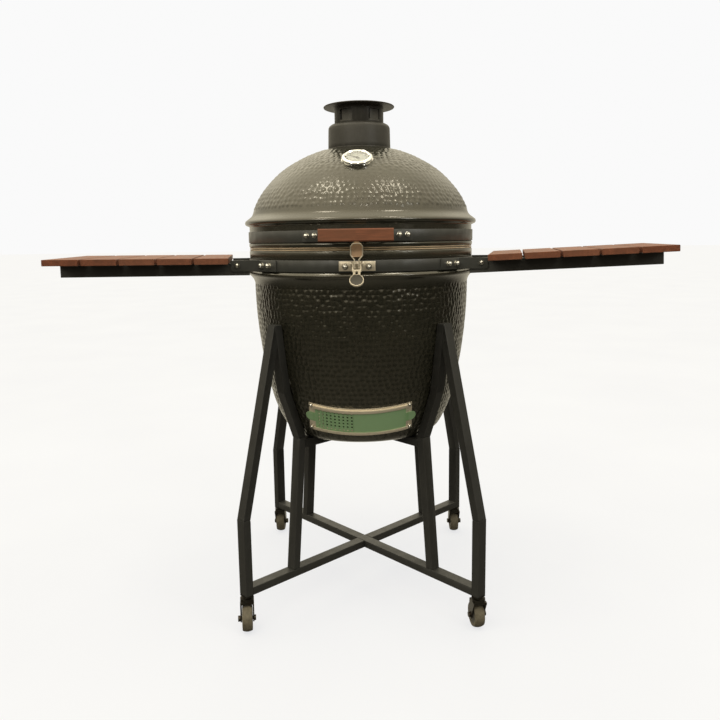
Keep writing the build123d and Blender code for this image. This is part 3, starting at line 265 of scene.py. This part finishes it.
def refractory():
    """Unglazed tan ceramic with patches of soot."""
    m = Nodes("raw_ceramic", Specular_IOR_Level=0.25)
    vec = m.coords()
    grit = m.noise(vec, 300.0, 4.0, 0.7)
    base = m.ramp(grit, (0.3, (0.42, 0.33, 0.25)), (0.7, (0.60, 0.50, 0.40)))
    soot = m.ramp(m.noise(vec, 11.0, 4.0, 0.6), (0.38, 0.9), (0.66, 0.15))
    m.put("Base Color", m.mix(soot, base, (0.060, 0.052, 0.045)))
    m.put("Roughness", m.ramp(grit, (0.3, 0.8), (0.7, 0.95)))
    m.bump((grit, 0.4, 0.0008))
    return m.mat


def sheet_painted_green_reflection():
    """Satin sheet metal with faint brush lines and handling marks; its green base colour is a
    painted reflection of greenery.
    """
    m = Nodes("green_door", Metallic=0.25, Specular_IOR_Level=0.5)
    vec = m.coords()
    lines = m.noise(m.coords((0.4, 0.4, 9.0)), 170.0, 3.0, 0.6)
    # painted reflection: the green base colour stands for greenery reflected in the sheet
    base = m.ramp(m.noise(vec, 12.0, 3.0, 0.6), (0.32, (0.125, 0.265, 0.105)),
                  (0.68, (0.175, 0.345, 0.145)))
    base = m.mix(m.math("MULTIPLY", m.edges(0.53, 0.62), 0.5), base, (0.34, 0.48, 0.30))
    m.put("Base Color", base)
    m.put("Roughness", m.ramp(lines, (0.3, 0.28), (0.7, 0.42)))
    m.bump((lines, 0.08, 0.0003))
    return m.mat


def dial_face():
    """White enamel, very slightly warm and uneven."""
    m = Nodes("dial_face", Specular_IOR_Level=0.5)
    vec = m.coords()
    m.put("Base Color", m.ramp(m.noise(vec, 60.0, 3.0), (0.3, (0.50, 0.49, 0.45)),
                               (0.7, (0.58, 0.57, 0.54))))
    m.put("Roughness", m.ramp(m.noise(vec, 400.0, 2.0), (0.3, 0.35), (0.7, 0.5)))
    m.bump((m.noise(vec, 500.0, 2.0), 0.05, 0.0002))
    return m.mat


def glass():
    """Clear flat glass with a trace of dust."""
    m = Nodes("clear_glass", Transmission_Weight=1.0, IOR=1.45)
    vec = m.coords()
    m.put("Base Color", m.ramp(m.noise(vec, 40.0, 3.0), (0.3, (0.93, 0.96, 0.95)),
                               (0.7, (0.98, 0.99, 0.98))))
    m.put("Roughness", m.ramp(m.noise(vec, 150.0, 4.0, 0.7), (0.45, 0.02), (0.75, 0.10)))
    return m.mat


def wheel_rubber(name, centre):
    """Grey-beige rubber tyre round a grey plastic hub, dusty on the tread."""
    m = Nodes(name, Specular_IOR_Level=0.35)
    vec = m.coords()
    away = m.node("VectorMath")
    away.operation = "DISTANCE"
    m.tree.links.new(vec, away.inputs[0])
    away.inputs[1].default_value = centre
    decimetres = m.math("MULTIPLY", away.outputs["Value"], 10.0)
    tyre = m.ramp(m.noise(vec, 90.0, 5.0, 0.7), (0.3, (0.072, 0.062, 0.043)),
                  (0.7, (0.135, 0.118, 0.084)))
    hub = m.ramp(m.noise(vec, 120.0, 4.0, 0.7), (0.3, (0.050, 0.047, 0.040)),
                 (0.7, (0.085, 0.079, 0.068)))
    m.put("Base Color", m.mix(m.ramp(decimetres, (0.228, 0.0), (0.238, 1.0)), hub, tyre))
    grit = m.noise(vec, 600.0, 4.0, 0.7)
    m.put("Roughness", m.ramp(grit, (0.3, 0.62), (0.7, 0.85)))
    m.bump((grit, 0.35, 0.0005))
    return m.mat


def mark_ink():
    """Black printing ink, a little worn."""
    m = Nodes("mark_ink", Specular_IOR_Level=0.4)
    vec = m.coords()
    m.put("Base Color", m.ramp(m.noise(vec, 900.0, 3.0), (0.3, (0.015, 0.015, 0.016)),
                               (0.7, (0.045, 0.043, 0.04))))
    m.put("Roughness", m.ramp(m.noise(vec, 700.0, 2.0), (0.3, 0.45), (0.7, 0.65)))
    return m.mat


SHELF_AZ = 79.3                       # direction of each shelf, degrees from the front
FORWARD = radians(90.0 - SHELF_AZ)    # so each shelf points this much forward of sideways
glazed = glaze()
steel = powder_coat("black_steel", (0.009, 0.009, 0.008), 0.44, 0.18)
band_steel = powder_coat("band_steel", (0.036, 0.037, 0.033), 0.36, 0.05, 0.06)
# the shelf arms get a lighter copy of the black steel: painted light, standing in for the light
# that doesn't reach under the shelves
arm_steel_painted_light = powder_coat("arm_steel_painted_light", (0.046, 0.046, 0.041), 0.40, 0.12, 0.12)
stainless = metal("stainless", (0.72, 0.64, 0.50), 0.34, (1.0, 1.0, 8.0), dirt=0.2, metallic=0.55)
# the latch catch's warm brown base colour, with little metallic, is a painted reflection of the
# wooden shelves in its steel
catch_painted_reflection = metal("catch_steel_painted_reflection", (0.62, 0.41, 0.25), 0.45, (1.0, 1.0, 8.0), dirt=0.25, metallic=0.15)
bolt_steel = metal("bolts", (0.70, 0.68, 0.62), 0.17, dirt=0.2, coarse=900.0)
zinc = metal("zinc_steel", (0.075, 0.070, 0.058), 0.42, grime=(0.05, 0.03, 0.02), dirt=0.7,
             coarse=350.0)
chrome = metal("chrome", (0.86, 0.85, 0.82), 0.07, dirt=0.06, coarse=900.0)
vent_iron = cast_iron("cast_vent", (0.052, 0.049, 0.042), 0.48)
grate_iron = cast_iron("grate_iron", (0.075, 0.070, 0.065), 0.62)
tan_felt = felt()
ink = mark_ink()
knob_grey = cast_iron("knob_grey", (0.050, 0.046, 0.037), 0.42)
by_slot = {
    "dark_glaze": glazed, "raw_ceramic": refractory(), "felt": tan_felt, "black_steel": steel,
    "bolts": bolt_steel, "zinc_steel": zinc, "chrome": chrome, "dial_face": dial_face(),
    "needle_black": ink, "clear_glass": glass(), "cast_vent": vent_iron, "grate_iron": grate_iron,
    "stainless": stainless, "green_door": sheet_painted_green_reflection(),
}
by_node = {
    "handle_grip": wood("wood_grip", 0.0, along="X"),
    "shelf_slats_right": wood("wood_right", FORWARD, 1),
    "shelf_slats_left": wood("wood_left", -FORWARD, -1),
    "upper_band": band_steel, "lower_band": band_steel, "handle_brackets": band_steel,
    "shelf_brackets": band_steel, "shelf_arms_left": arm_steel_painted_light, "shelf_arms_right": arm_steel_painted_light,
    "latch_knob": knob_grey, "latch_catch": catch_painted_reflection, "vent_gasket": vent_iron,
}
for corner in ("fl", "fr", "rl", "rr"):
    lo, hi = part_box(f"caster_wheel_{corner}")
    middle = (Vector(lo) + Vector(hi)) / 2
    by_node[f"caster_wheel_{corner}"] = wheel_rubber(f"tyre_{corner}", middle)
slot_of = {s["node"]: s["material_slot"] for s in frame["record"]["subparts"]}
for name, obj in nodes.items():
    skin = by_node.get(name) or by_slot[slot_of[name]]
    if not obj.material_slots:
        obj.data.materials.append(skin)
    for s in obj.material_slots:
        s.material = skin

# bevel widths in mm, on the CAD pieces with hard corners
EDGE = {
    "base_cross": 1.6, "corner_posts": 1.6, "inner_posts": 1.6, "outer_struts": 1.6,
    "cradle_struts": 1.6, "cradle_cross": 1.6, "shelf_arms_left": 1.6, "shelf_arms_right": 1.6,
    "shelf_slats_left": 0.7, "shelf_slats_right": 0.7, "handle_grip": 0.8, "shelf_brackets": 0.5,
    "handle_brackets": 0.5, "latch_base": 0.4, "latch_catch": 0.5, "hinge_upper_bracket": 0.6,
    "hinge_lower_bracket": 0.6, "upper_band": 0.5, "lower_band": 0.5, "draft_frame": 0.4,
    "vent_collar": 0.6, "vent_cap": 0.5, "fire_box": 2.0, "fire_ring": 2.0, "charcoal_grate": 1.0,
    "upper_nuts": 0.4, "lower_nuts": 0.4, "latch_lever": 0.3,
}
for name, size in EDGE.items():
    obj = nodes[name]
    weld = obj.modifiers.new("weld", "WELD")
    weld.merge_threshold = 0.00001
    bevel = obj.modifiers.new("edge", "BEVEL")
    bevel.width = size * MM
    bevel.segments = 2
    bevel.limit_method = "ANGLE"
    bevel.angle_limit = radians(32)
    bevel.use_clamp_overlap = True
    bevel.harden_normals = True


# ---------------------------------------------------------------- turned ceramic shells
def worley(points, cell, seed):
    """Distance to the nearest of one jittered point per cubic cell, in cells."""
    p = points / cell
    base = np.floor(p).astype(np.int64)
    best = np.full(len(p), 9.0)
    for dx in (-1, 0, 1):
        for dy in (-1, 0, 1):
            for dz in (-1, 0, 1):
                c = base + (dx, dy, dz)
                h = (c[:, 0] * 73856093) ^ (c[:, 1] * 19349663) ^ (c[:, 2] * 83492791)
                h = h ^ (seed * 2654435761)
                spot = np.empty_like(p)
                for k in range(3):
                    h = (h * 1103515245 + 12345) & 0x7FFFFFFF
                    spot[:, k] = (h >> 8) / float(1 << 23)
                best = np.minimum(best, np.linalg.norm(c + spot - p, axis=1))
    return best


def arc(cx, cz, r, a0, a1, step=3.0):
    """Points on an arc; angles in degrees from straight up, towards +r."""
    n = max(2, int(abs(radians(a1 - a0)) * r / step))
    turns = (radians(a) for a in np.linspace(a0, a1, n + 1))
    return [(cx + r * sin(a), cz + r * cos(a)) for a in turns]


def bend(p0, p1, t0, t1, n=8):
    """Smooth run between two points with given directions."""
    p0, p1, t0, t1 = (np.array(v, float) for v in (p0, p1, t0, t1))
    reach = np.linalg.norm(p1 - p0)
    t0, t1 = t0 / np.linalg.norm(t0) * reach, t1 / np.linalg.norm(t1) * reach
    out = []
    for t in np.linspace(0, 1, n + 1):
        a, b = 2 * t**3 - 3 * t**2 + 1, t**3 - 2 * t**2 + t
        c, d = -2 * t**3 + 3 * t**2, t**3 - t**2
        out.append(tuple(a * p0 + b * t0 + c * p1 + d * t1))
    return out


def joined(*runs):
    """One list of points from several runs, repeats dropped."""
    out = []
    for run in runs:
        for p in run:
            if not out or np.hypot(p[0] - out[-1][0], p[1] - out[-1][1]) > 0.05:
                out.append(tuple(p))
    return out


def turned(name, profile, segments, relief, material, body):
    """Closed profile (r, z in mm) turned about Z. relief(points, r, z) gives how far, in mm, a
    ring of points moves to the right of the way the profile runs, or None. That is outwards
    where the profile runs up the outside (bowl, felt) and inwards where it runs down (lid).
    The faces look to the same side, so the lid's look inwards."""
    prof = np.array(profile, float)
    n = len(prof)
    ring = np.linspace(0, 2 * pi, segments, endpoint=False)
    direction = np.stack([np.sin(ring), -np.cos(ring)], 1)
    verts, first = [], []
    for k, (r, z) in enumerate(prof):
        first.append(len(verts))
        if r < 0.01:
            verts.append((0.0, 0.0, z))
            continue
        tangent = prof[(k + 1) % n] - prof[k - 1]
        tangent /= np.linalg.norm(tangent)
        pts = np.column_stack([direction * r, np.full(segments, z)])
        move = relief(pts, r, z)
        if move is not None:
            aside = np.column_stack([direction * tangent[1], np.full(segments, -tangent[0])])
            pts = pts + aside * move[:, None]
        verts.extend(map(tuple, pts))
    faces = []
    for k in range(n):
        a, b = first[k], first[(k + 1) % n]
        pole_a, pole_b = prof[k][0] < 0.01, prof[(k + 1) % n][0] < 0.01
        if pole_a and pole_b:
            continue
        for i in range(segments):
            j = (i + 1) % segments
            if pole_a:
                faces.append((a, b + j, b + i))
            elif pole_b:
                faces.append((a + i, a + j, b))
            else:
                faces.append((a + i, a + j, b + j, b + i))
    mesh = bpy.data.meshes.new(name)
    mesh.from_pydata([(x * MM, y * MM, z * MM) for x, y, z in verts], [], faces)
    return piece(name, mesh, material, body)


def piece(name, mesh, material, body, smooth=True):
    """Puts a mesh in the scene as a piece that rides on a body."""
    obj = bpy.data.objects.new(name, mesh)
    bpy.context.scene.collection.objects.link(obj)
    mesh.materials.append(material)
    mesh.polygons.foreach_set("use_smooth", [smooth] * len(mesh.polygons))
    mesh.update()
    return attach(obj, body)


DIMPLE, DEPTH = 13.8, 1.9        # hammered marks: pitch and depth, mm
PIT_R = 0.53 * DIMPLE            # radius of each mark
FADE = 9.0                       # height over which the marks fade out
VENT_R = 84.0                    # no marks nearer to the axis than this, under the vent
SWELL, SWELL_CELL = 0.3, 43.0    # slow unevenness of the glaze: depth and size


def hammered(outline, z_low, z_high):
    """Relief of round marks set in rows round the outline, between two heights. It is negative,
    which makes pits on the bowl and low bumps on the lid."""
    rng = np.random.default_rng(5)
    run = np.array(outline, float)
    along = np.concatenate([[0], np.cumsum(np.linalg.norm(np.diff(run, axis=0), axis=1))])
    centres = []
    for s in np.arange(0, along[-1], DIMPLE * 0.87):
        r0 = np.interp(s, along, run[:, 0])
        count = max(6, round(2 * pi * r0 / DIMPLE))
        ring = (np.arange(count) + rng.random() + rng.normal(0, 0.11, count)) * 2 * pi / count
        at = s + rng.normal(0, 0.11, count) * DIMPLE
        r, z = np.interp(at, along, run[:, 0]), np.interp(at, along, run[:, 1])
        centres.append(np.column_stack([r * np.sin(ring), -r * np.cos(ring), z]))
    centres = np.concatenate(centres)
    depth = rng.uniform(0.65, 1.0, len(centres)) * DEPTH
    tree = KDTree(len(centres))
    for i, c in enumerate(centres):
        tree.insert(c, i)
    tree.balance()

    def relief(pts, r, z):
        weight = min(1.0, (z - z_low) / FADE, (z_high - z) / FADE)
        if weight <= 0 or r < VENT_R:
            return None
        near = [tree.find(p) for p in pts]
        t = np.clip(np.array([n[2] for n in near]) / PIT_R, 0, 1)
        pit = depth[[n[1] for n in near]] * (1 - t * t) ** 1.3
        return -weight * (pit + SWELL * np.clip(worley(pts, SWELL_CELL, 3), 0, 1))
    return relief


SEGMENTS = 760                   # round each shell, fine enough for the marks
WALL = 27.0                      # thickness of the ceramic
MOUTH_R, SKIRT_R = 258.0, 289.0  # clear radius inside the seal, ring under each band
CHIMNEY_R, CROWN_FLAT = 60.0, 1167.0     # hole in the crown and the flat round it
CROWN_R, CROWN_Z, SHOULDER_R, BREAK = 340.7, 835.9, 222.5, 36.0
FLARE_TOP = 1005.0               # where the shoulder turns out into the drip flare
sx = (CROWN_R - SHOULDER_R) * sin(radians(BREAK))
sz = (CROWN_R - SHOULDER_R) * cos(radians(BREAK)) + CROWN_Z
foot_a = 90 - np.degrees(asin((FLARE_TOP - sz) / SHOULDER_R))
spring = sqrt((SHOULDER_R - WALL) ** 2 - (MOUTH_R - sx) ** 2)
spring_a = 90 - np.degrees(asin(spring / (SHOULDER_R - WALL)))
lid_profile = joined(
    [(CHIMNEY_R, CROWN_FLAT), (70.0, CROWN_FLAT)],
    arc(0, CROWN_Z, CROWN_R, np.degrees(asin(80.3 / CROWN_R)), BREAK),
    arc(sx, sz, SHOULDER_R, BREAK, foot_a),
    bend((279.5, FLARE_TOP), (297.0, 987.5), (0.25, -1), (1, -0.85)),
    [(298.9, 985.6), (299.8, 983.2), (300.0, 981.0), (299.6, 978.6), (298.5, 976.8),
     (296.5, 975.5)],
    [(SKIRT_R, 972.0), (SKIRT_R, 971.0), (SKIRT_R, 932.0), (SKIRT_R, 931.0), (290.4, 930.2),
     (291.0, 928.8), (291.0, 923.4), (290.4, 921.7), (SKIRT_R, 921.0), (288.0, 921.0),
     (259.0, 921.0), (MOUTH_R, 921.6), (MOUTH_R, 930.0), (MOUTH_R, 975.0)],
    arc(sx, sz, SHOULDER_R - WALL, spring_a, BREAK, 9.0),
    arc(0, CROWN_Z, CROWN_R - WALL, BREAK, np.degrees(asin(CHIMNEY_R / (CROWN_R - WALL))), 9.0),
)
# the part of the outline that gets marks: the first run of points above the flare
above_flare = [p for p in lid_profile if p[1] > 1000 and p[0] > 262 or p[1] > 1112 and p[0] > 79]
flare_at = next(k for k, p in enumerate(above_flare) if p[1] <= 1003)
lid_marks = hammered(above_flare[:flare_at], 1009.0, 1167.5)
lid_shell = turned("lid_shell", lid_profile, SEGMENTS, lid_marks, glazed, "lid")
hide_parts("lid")

SIDE_R, SIDE_X, SIDE_Z = 1177.3, -898.0, 828.4
BELLY_R, BELLY_X, BELLY_Z = 326.2, -72.9, 619.8
join_a = 90 + np.degrees(atan2(SIDE_Z - BELLY_Z, BELLY_X - SIDE_X))
FOOT_Z = 438.0                   # flat underside of the bowl
low_a = 90 + np.degrees(asin((BELLY_Z - 462.0) / BELLY_R))
in_low_a = 90 + np.degrees(asin((BELLY_Z - 490.0) / (BELLY_R - WALL)))
bowl_profile = joined(
    [(0.0, FOOT_Z), (90.0, FOOT_Z), (178.0, FOOT_Z)],
    bend((180.0, FOOT_Z), (212.6, 462.0), (1, 0.1), (0.95, 1.8), 10),
    arc(BELLY_X, BELLY_Z, BELLY_R, low_a, join_a),
    arc(SIDE_X, SIDE_Z, SIDE_R, join_a, 90.0),
    bend((279.3, 828.4), (291.5, 850.5), (0.02, 1), (0.9, 0.75), 12),
    [(292.8, 851.9), (293.6, 853.5), (294.0, 855.5), (293.6, 857.5), (292.8, 859.1),
     (291.5, 860.5), (289.8, 863.2), (SKIRT_R, 864.3), (SKIRT_R, 865.5), (SKIRT_R, 892.9),
     (SKIRT_R, 893.9), (290.1, 894.6), (290.5, 896.0), (290.5, 909.8), (290.0, 911.6),
     (288.5, 912.4), (287.5, 912.4), (259.0, 912.4), (MOUTH_R, 911.8), (MOUTH_R, 903.0),
     (MOUTH_R, 872.0)],
    arc(SIDE_X, SIDE_Z, SIDE_R - WALL, 90.0, join_a, 14.0),
    arc(BELLY_X, BELLY_Z, BELLY_R - WALL, join_a, in_low_a, 10.0),
    [(172.0, 466.0), (90.0, 466.0), (0.0, 466.0)],
)
bowl_outside = bowl_profile[1:next(k for k, p in enumerate(bowl_profile) if p[1] > 840)]
bowl_marks = hammered(bowl_outside, 449.0, 834.0)
bowl_shell = turned("bowl_shell", bowl_profile, SEGMENTS, bowl_marks, glazed, "base")
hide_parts("bowl")

# the opening behind the draft door, cut with a curved block about the door's leaning axis
LEAN = radians(18.0)             # of the door's axis, from vertical
axis_up = Vector((0, -sin(LEAN), cos(LEAN)))
axis_out = Vector((0, -cos(LEAN), -sin(LEAN)))
door_middle, DOOR_RHO = Vector((0, -0.2317, 0.503)), 0.240
axis_at = door_middle - axis_out * DOOR_RHO


def on_door(rho, angle, h):
    """Point in the draft door's cylinder: radius and height in mm, angle in degrees."""
    a = radians(angle)
    out = Vector((sin(a), 0, 0)) + axis_out * cos(a)
    return axis_at + out * (rho * MM) + axis_up * (h * MM)


def curved_block(name, rho0, rho1, a0, a1, h0, h1, n=24):
    """Block bent round the draft axis, as mesh data."""
    verts, faces = [], []
    for a in np.linspace(a0, a1, n + 1):
        verts += [on_door(rho, a, h) for rho, h in ((rho0, h0), (rho1, h0), (rho1, h1), (rho0, h1))]
    for i in range(n):
        for k in range(4):
            a, b = 4 * i + k, 4 * i + (k + 1) % 4
            faces.append((a, b, b + 4, a + 4))
    faces += [(3, 2, 1, 0), (4 * n, 4 * n + 1, 4 * n + 2, 4 * n + 3)]
    mesh = bpy.data.meshes.new(name)
    mesh.from_pydata(verts, [], faces)
    mesh.update()
    return mesh


cutter = bpy.data.objects.new("cutter", curved_block("cutter", 180, 262, -21, 21, -21, 21))
bpy.context.scene.collection.objects.link(cutter)
cut = bowl_shell.modifiers.new("opening", "BOOLEAN")
cut.object, cut.operation, cut.solver = cutter, "DIFFERENCE", "EXACT"
bpy.context.view_layer.update()
result = bowl_shell.evaluated_get(bpy.context.evaluated_depsgraph_get())
done = bpy.data.meshes.new_from_object(result)
bowl_shell.modifiers.clear()
bowl_shell.data = done
bpy.data.objects.remove(cutter)


# ---------------------------------------------------------------- felt seals
def fuzzy(pts, r, z):
    """Slight unevenness of a compressed felt strip."""
    return -0.35 * worley(pts, 5.0, 11) + 0.02


for name, z0, z1, body in (("felt_bowl", 912.4, 916.4, "base"), ("felt_lid", 917.2, 921.0, "lid")):
    strip = joined([(262.0, z0 + 0.9), (262.8, z0 + 0.2), (275.0, z0 + 0.2), (288.6, z0 + 0.2),
                    (289.7, z0 + 0.9), (290.0, (z0 + z1) / 2), (289.7, z1 - 0.9), (288.6, z1 - 0.1),
                    (275.0, z1 - 0.1), (262.8, z1 - 0.1), (262.0, z1 - 0.9)])
    ring = turned(name, strip, 480, fuzzy, tan_felt, body)
    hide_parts({"felt_bowl": "bowl_gasket", "felt_lid": "lid_gasket"}[name])

# ---------------------------------------------------------------- thermometer marks
TILT = radians(33.0)             # of the dial's axis, from vertical
MARKS, MARK_STEP, MARK_EVERY = 41, 6.6, 5      # count, degrees apart, each fifth is long
MARK_OUT = 23.4                  # outer end of the marks, mm from the dial's middle
MARK_Z = (4.42, 4.52)            # bottom and top of the ink above the crown, mm
crown = Vector((0, -CROWN_R * sin(TILT), CROWN_Z + CROWN_R * cos(TILT))) * MM
face = Matrix((
    (1, 0, 0, crown.x),
    (0, cos(TILT), -sin(TILT), crown.y),
    (0, sin(TILT), cos(TILT), crown.z),
    (0, 0, 0, 1),
))
marks, mark_faces = [], []
for i in range(MARKS):
    a = radians(-132 + i * MARK_STEP)
    start, half_width = (18.6, 0.50) if i % MARK_EVERY == 0 else (20.9, 0.26)
    across, out = Vector((cos(a), -sin(a), 0)), Vector((sin(a), cos(a), 0))
    k = len(marks)
    for z in MARK_Z:
        for r, s in ((start, -half_width), (start, half_width), (MARK_OUT, half_width),
                     (MARK_OUT, -half_width)):
            p = out * r + across * s
            marks.append(face @ (Vector((p.x, p.y, z)) * MM))
    mark_faces += [(k + 4, k + 5, k + 6, k + 7), (k + 3, k + 2, k + 1, k)]
    for j in range(4):
        following = (j + 1) % 4
        mark_faces.append((k + j, k + following, k + following + 4, k + j + 4))
mesh = bpy.data.meshes.new("dial_marks")
mesh.from_pydata(marks, [], mark_faces)
dial_marks = piece("dial_marks", mesh, ink, "lid", smooth=False)


# ---------------------------------------------------------------- floor, light, camera
FLOOR_HALF = 60.0                # half the floor's side, m


def floor():
    """Large pale floor. It shows shadows but throws no light back up."""
    m = Nodes("floor", Roughness=0.9, Specular_IOR_Level=0.0)
    vec = m.coords()
    tone = m.noise(vec, 1.5, 3.0)
    m.put("Base Color", m.ramp(tone, (0.3, (0.146, 0.149, 0.153)), (0.7, (0.160, 0.164, 0.168))))
    m.set(Emission_Color=(0.955, 0.96, 0.985, 1.0), Emission_Strength=0.73)
    mesh = bpy.data.meshes.new("floor")
    s = FLOOR_HALF
    mesh.from_pydata([(-s, -s, 0), (s, -s, 0), (s, s, 0), (-s, s, 0)], [], [(0, 1, 2, 3)])
    obj = bpy.data.objects.new("floor", mesh)
    mesh.materials.append(m.mat)
    bpy.context.scene.collection.objects.link(obj)
    obj.visible_diffuse = obj.visible_glossy = False
    obj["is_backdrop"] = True


def area(name, place, target, size, power, tone):
    """Soft rectangular light aimed at a point."""
    light = bpy.data.lights.new(name, "AREA")
    light.shape, light.size, light.size_y = "RECTANGLE", *size
    light.energy, light.color = power, tone
    obj = bpy.data.objects.new(name, light)
    obj.location = place
    obj.rotation_euler = (Vector(target) - Vector(place)).to_track_quat("-Z", "Y").to_euler()
    bpy.context.scene.collection.objects.link(obj)


floor()
# the studio is a soft dome: bright overhead, dim at eye level, a pale backdrop behind, and a
# little brighter on the left; the camera sees a plain pale background instead
# the steps are (height of the direction, -1 to 1; light level)
SKY = ((-1.0, 0.13), (-0.5, 0.06), (-0.15, 0.01), (0.03, 0.02), (0.13, 0.22), (0.32, 0.48),
       (0.55, 0.74), (1.0, 0.88))
BACKDROP = (0.25, 0.90, 0.0, 0.36)       # from, to, level from, level to, towards +Y
ACROSS = (-1.0, 1.0, 1.12, 0.80)         # the same from left to right, as a factor
SKY_TINT, SKY_STRENGTH = (1.0, 0.92, 0.72), 2.35
BACKGROUND = (0.955, 0.955, 0.955, 1.0)
world = bpy.data.worlds.new("studio")
bpy.context.scene.world = world
world.use_nodes = True
tree = world.node_tree


def world_range(source, low, high, to_low, to_high):
    """Clamped map of one world coordinate."""
    n = tree.nodes.new("ShaderNodeMapRange")
    n.interpolation_type = "SMOOTHSTEP"
    values = {"From Min": low, "From Max": high, "To Min": to_low, "To Max": to_high}
    for key, value in values.items():
        n.inputs[key].default_value = value
    tree.links.new(source, n.inputs["Value"])
    return n.outputs["Result"]


coord = tree.nodes.new("ShaderNodeTexCoord")
split = tree.nodes.new("ShaderNodeSeparateXYZ")
fall = tree.nodes.new("ShaderNodeValToRGB")
tree.links.new(coord.outputs["Generated"], split.inputs[0])
half = tree.nodes.new("ShaderNodeMath")
half.operation = "MULTIPLY_ADD"
half.inputs[1].default_value = half.inputs[2].default_value = 0.5
tree.links.new(split.outputs["Z"], half.inputs[0])
tree.links.new(half.outputs[0], fall.inputs[0])
while len(fall.color_ramp.elements) < len(SKY):
    fall.color_ramp.elements.new(0.5)
for element, (place, level) in zip(fall.color_ramp.elements, SKY):
    element.position = (place + 1) / 2
    element.color = (level, level, level, 1.0)
behind = world_range(split.outputs["Y"], *BACKDROP)
most = tree.nodes.new("ShaderNodeMath")
most.operation = "MAXIMUM"
tree.links.new(fall.outputs["Color"], most.inputs[0])
tree.links.new(behind, most.inputs[1])
sideways = tree.nodes.new("ShaderNodeMath")
sideways.operation = "MULTIPLY"
tree.links.new(most.outputs[0], sideways.inputs[0])
tree.links.new(world_range(split.outputs["X"], *ACROSS), sideways.inputs[1])
tinted = tree.nodes.new("ShaderNodeVectorMath")
tinted.operation = "SCALE"
tinted.inputs[0].default_value = SKY_TINT
tree.links.new(sideways.outputs[0], tinted.inputs["Scale"])
back = tree.nodes["Background"]
tree.links.new(tinted.outputs["Vector"], back.inputs["Color"])
back.inputs["Strength"].default_value = SKY_STRENGTH
seen = tree.nodes.new("ShaderNodeBackground")
seen.inputs["Color"].default_value = BACKGROUND
path = tree.nodes.new("ShaderNodeLightPath")
pick = tree.nodes.new("ShaderNodeMixShader")
tree.links.new(path.outputs["Is Camera Ray"], pick.inputs[0])
tree.links.new(back.outputs[0], pick.inputs[1])
tree.links.new(seen.outputs[0], pick.inputs[2])
tree.links.new(pick.outputs[0], tree.nodes["World Output"].inputs["Surface"])

WARM, CREAM, COOL = (1.0, 0.95, 0.85), (1.0, 0.97, 0.92), (0.97, 0.99, 1.0)
# name, place, target, size, watts, colour
for lamp in (
    ("lamp_left", (-0.9, -0.7, 3.0), (0, 0, 1.1), (0.35, 0.35), 6.0, WARM),
    ("lamp_right", (0.9, -0.7, 3.0), (0, 0, 1.1), (0.35, 0.35), 6.0, WARM),
    ("window", (2.4, -2.2, 2.0), (0, 0, 0.9), (0.5, 0.8), 10.0, COOL),
    ("doorway", (-2.0, -2.9, 2.1), (0, 0, 0.8), (0.5, 0.5), 9.0, CREAM),
    ("far_lamp", (0.3, -3.6, 2.6), (0, 0, 0.8), (0.5, 0.3), 8.0, CREAM),
):
    area(*lamp)

LENS, SENSOR, SHIFT_Y = 34.36, 36.0, -0.026
DISTANCE, EYE = 1.838, 0.938             # from the part's axis, and height above the floor
ORBIT, YAW, PITCH, ROLL = radians(1.7), radians(0.165), radians(8.45), radians(0.80)
cam = bpy.data.cameras.new("camera")
cam.lens, cam.sensor_width = LENS, SENSOR
cam.shift_y = SHIFT_Y
cam_obj = bpy.data.objects.new("camera", cam)
bpy.context.scene.collection.objects.link(cam_obj)
bpy.context.scene.camera = cam_obj
cam_obj.location = (DISTANCE * sin(ORBIT), -DISTANCE * cos(ORBIT), EYE)
heading = ORBIT + YAW
forward = Vector((-sin(heading) * cos(PITCH), cos(heading) * cos(PITCH), -sin(PITCH)))
right = Vector((cos(heading), sin(heading), 0))
up = right.cross(forward)
cam_right = right * cos(ROLL) - up * sin(ROLL)
cam_up = right * sin(ROLL) + up * cos(ROLL)
cam_obj.rotation_euler = Matrix((cam_right, cam_up, -forward)).transposed().to_euler()

bpy.context.scene.view_settings.view_transform = "Standard"

lo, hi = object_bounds()
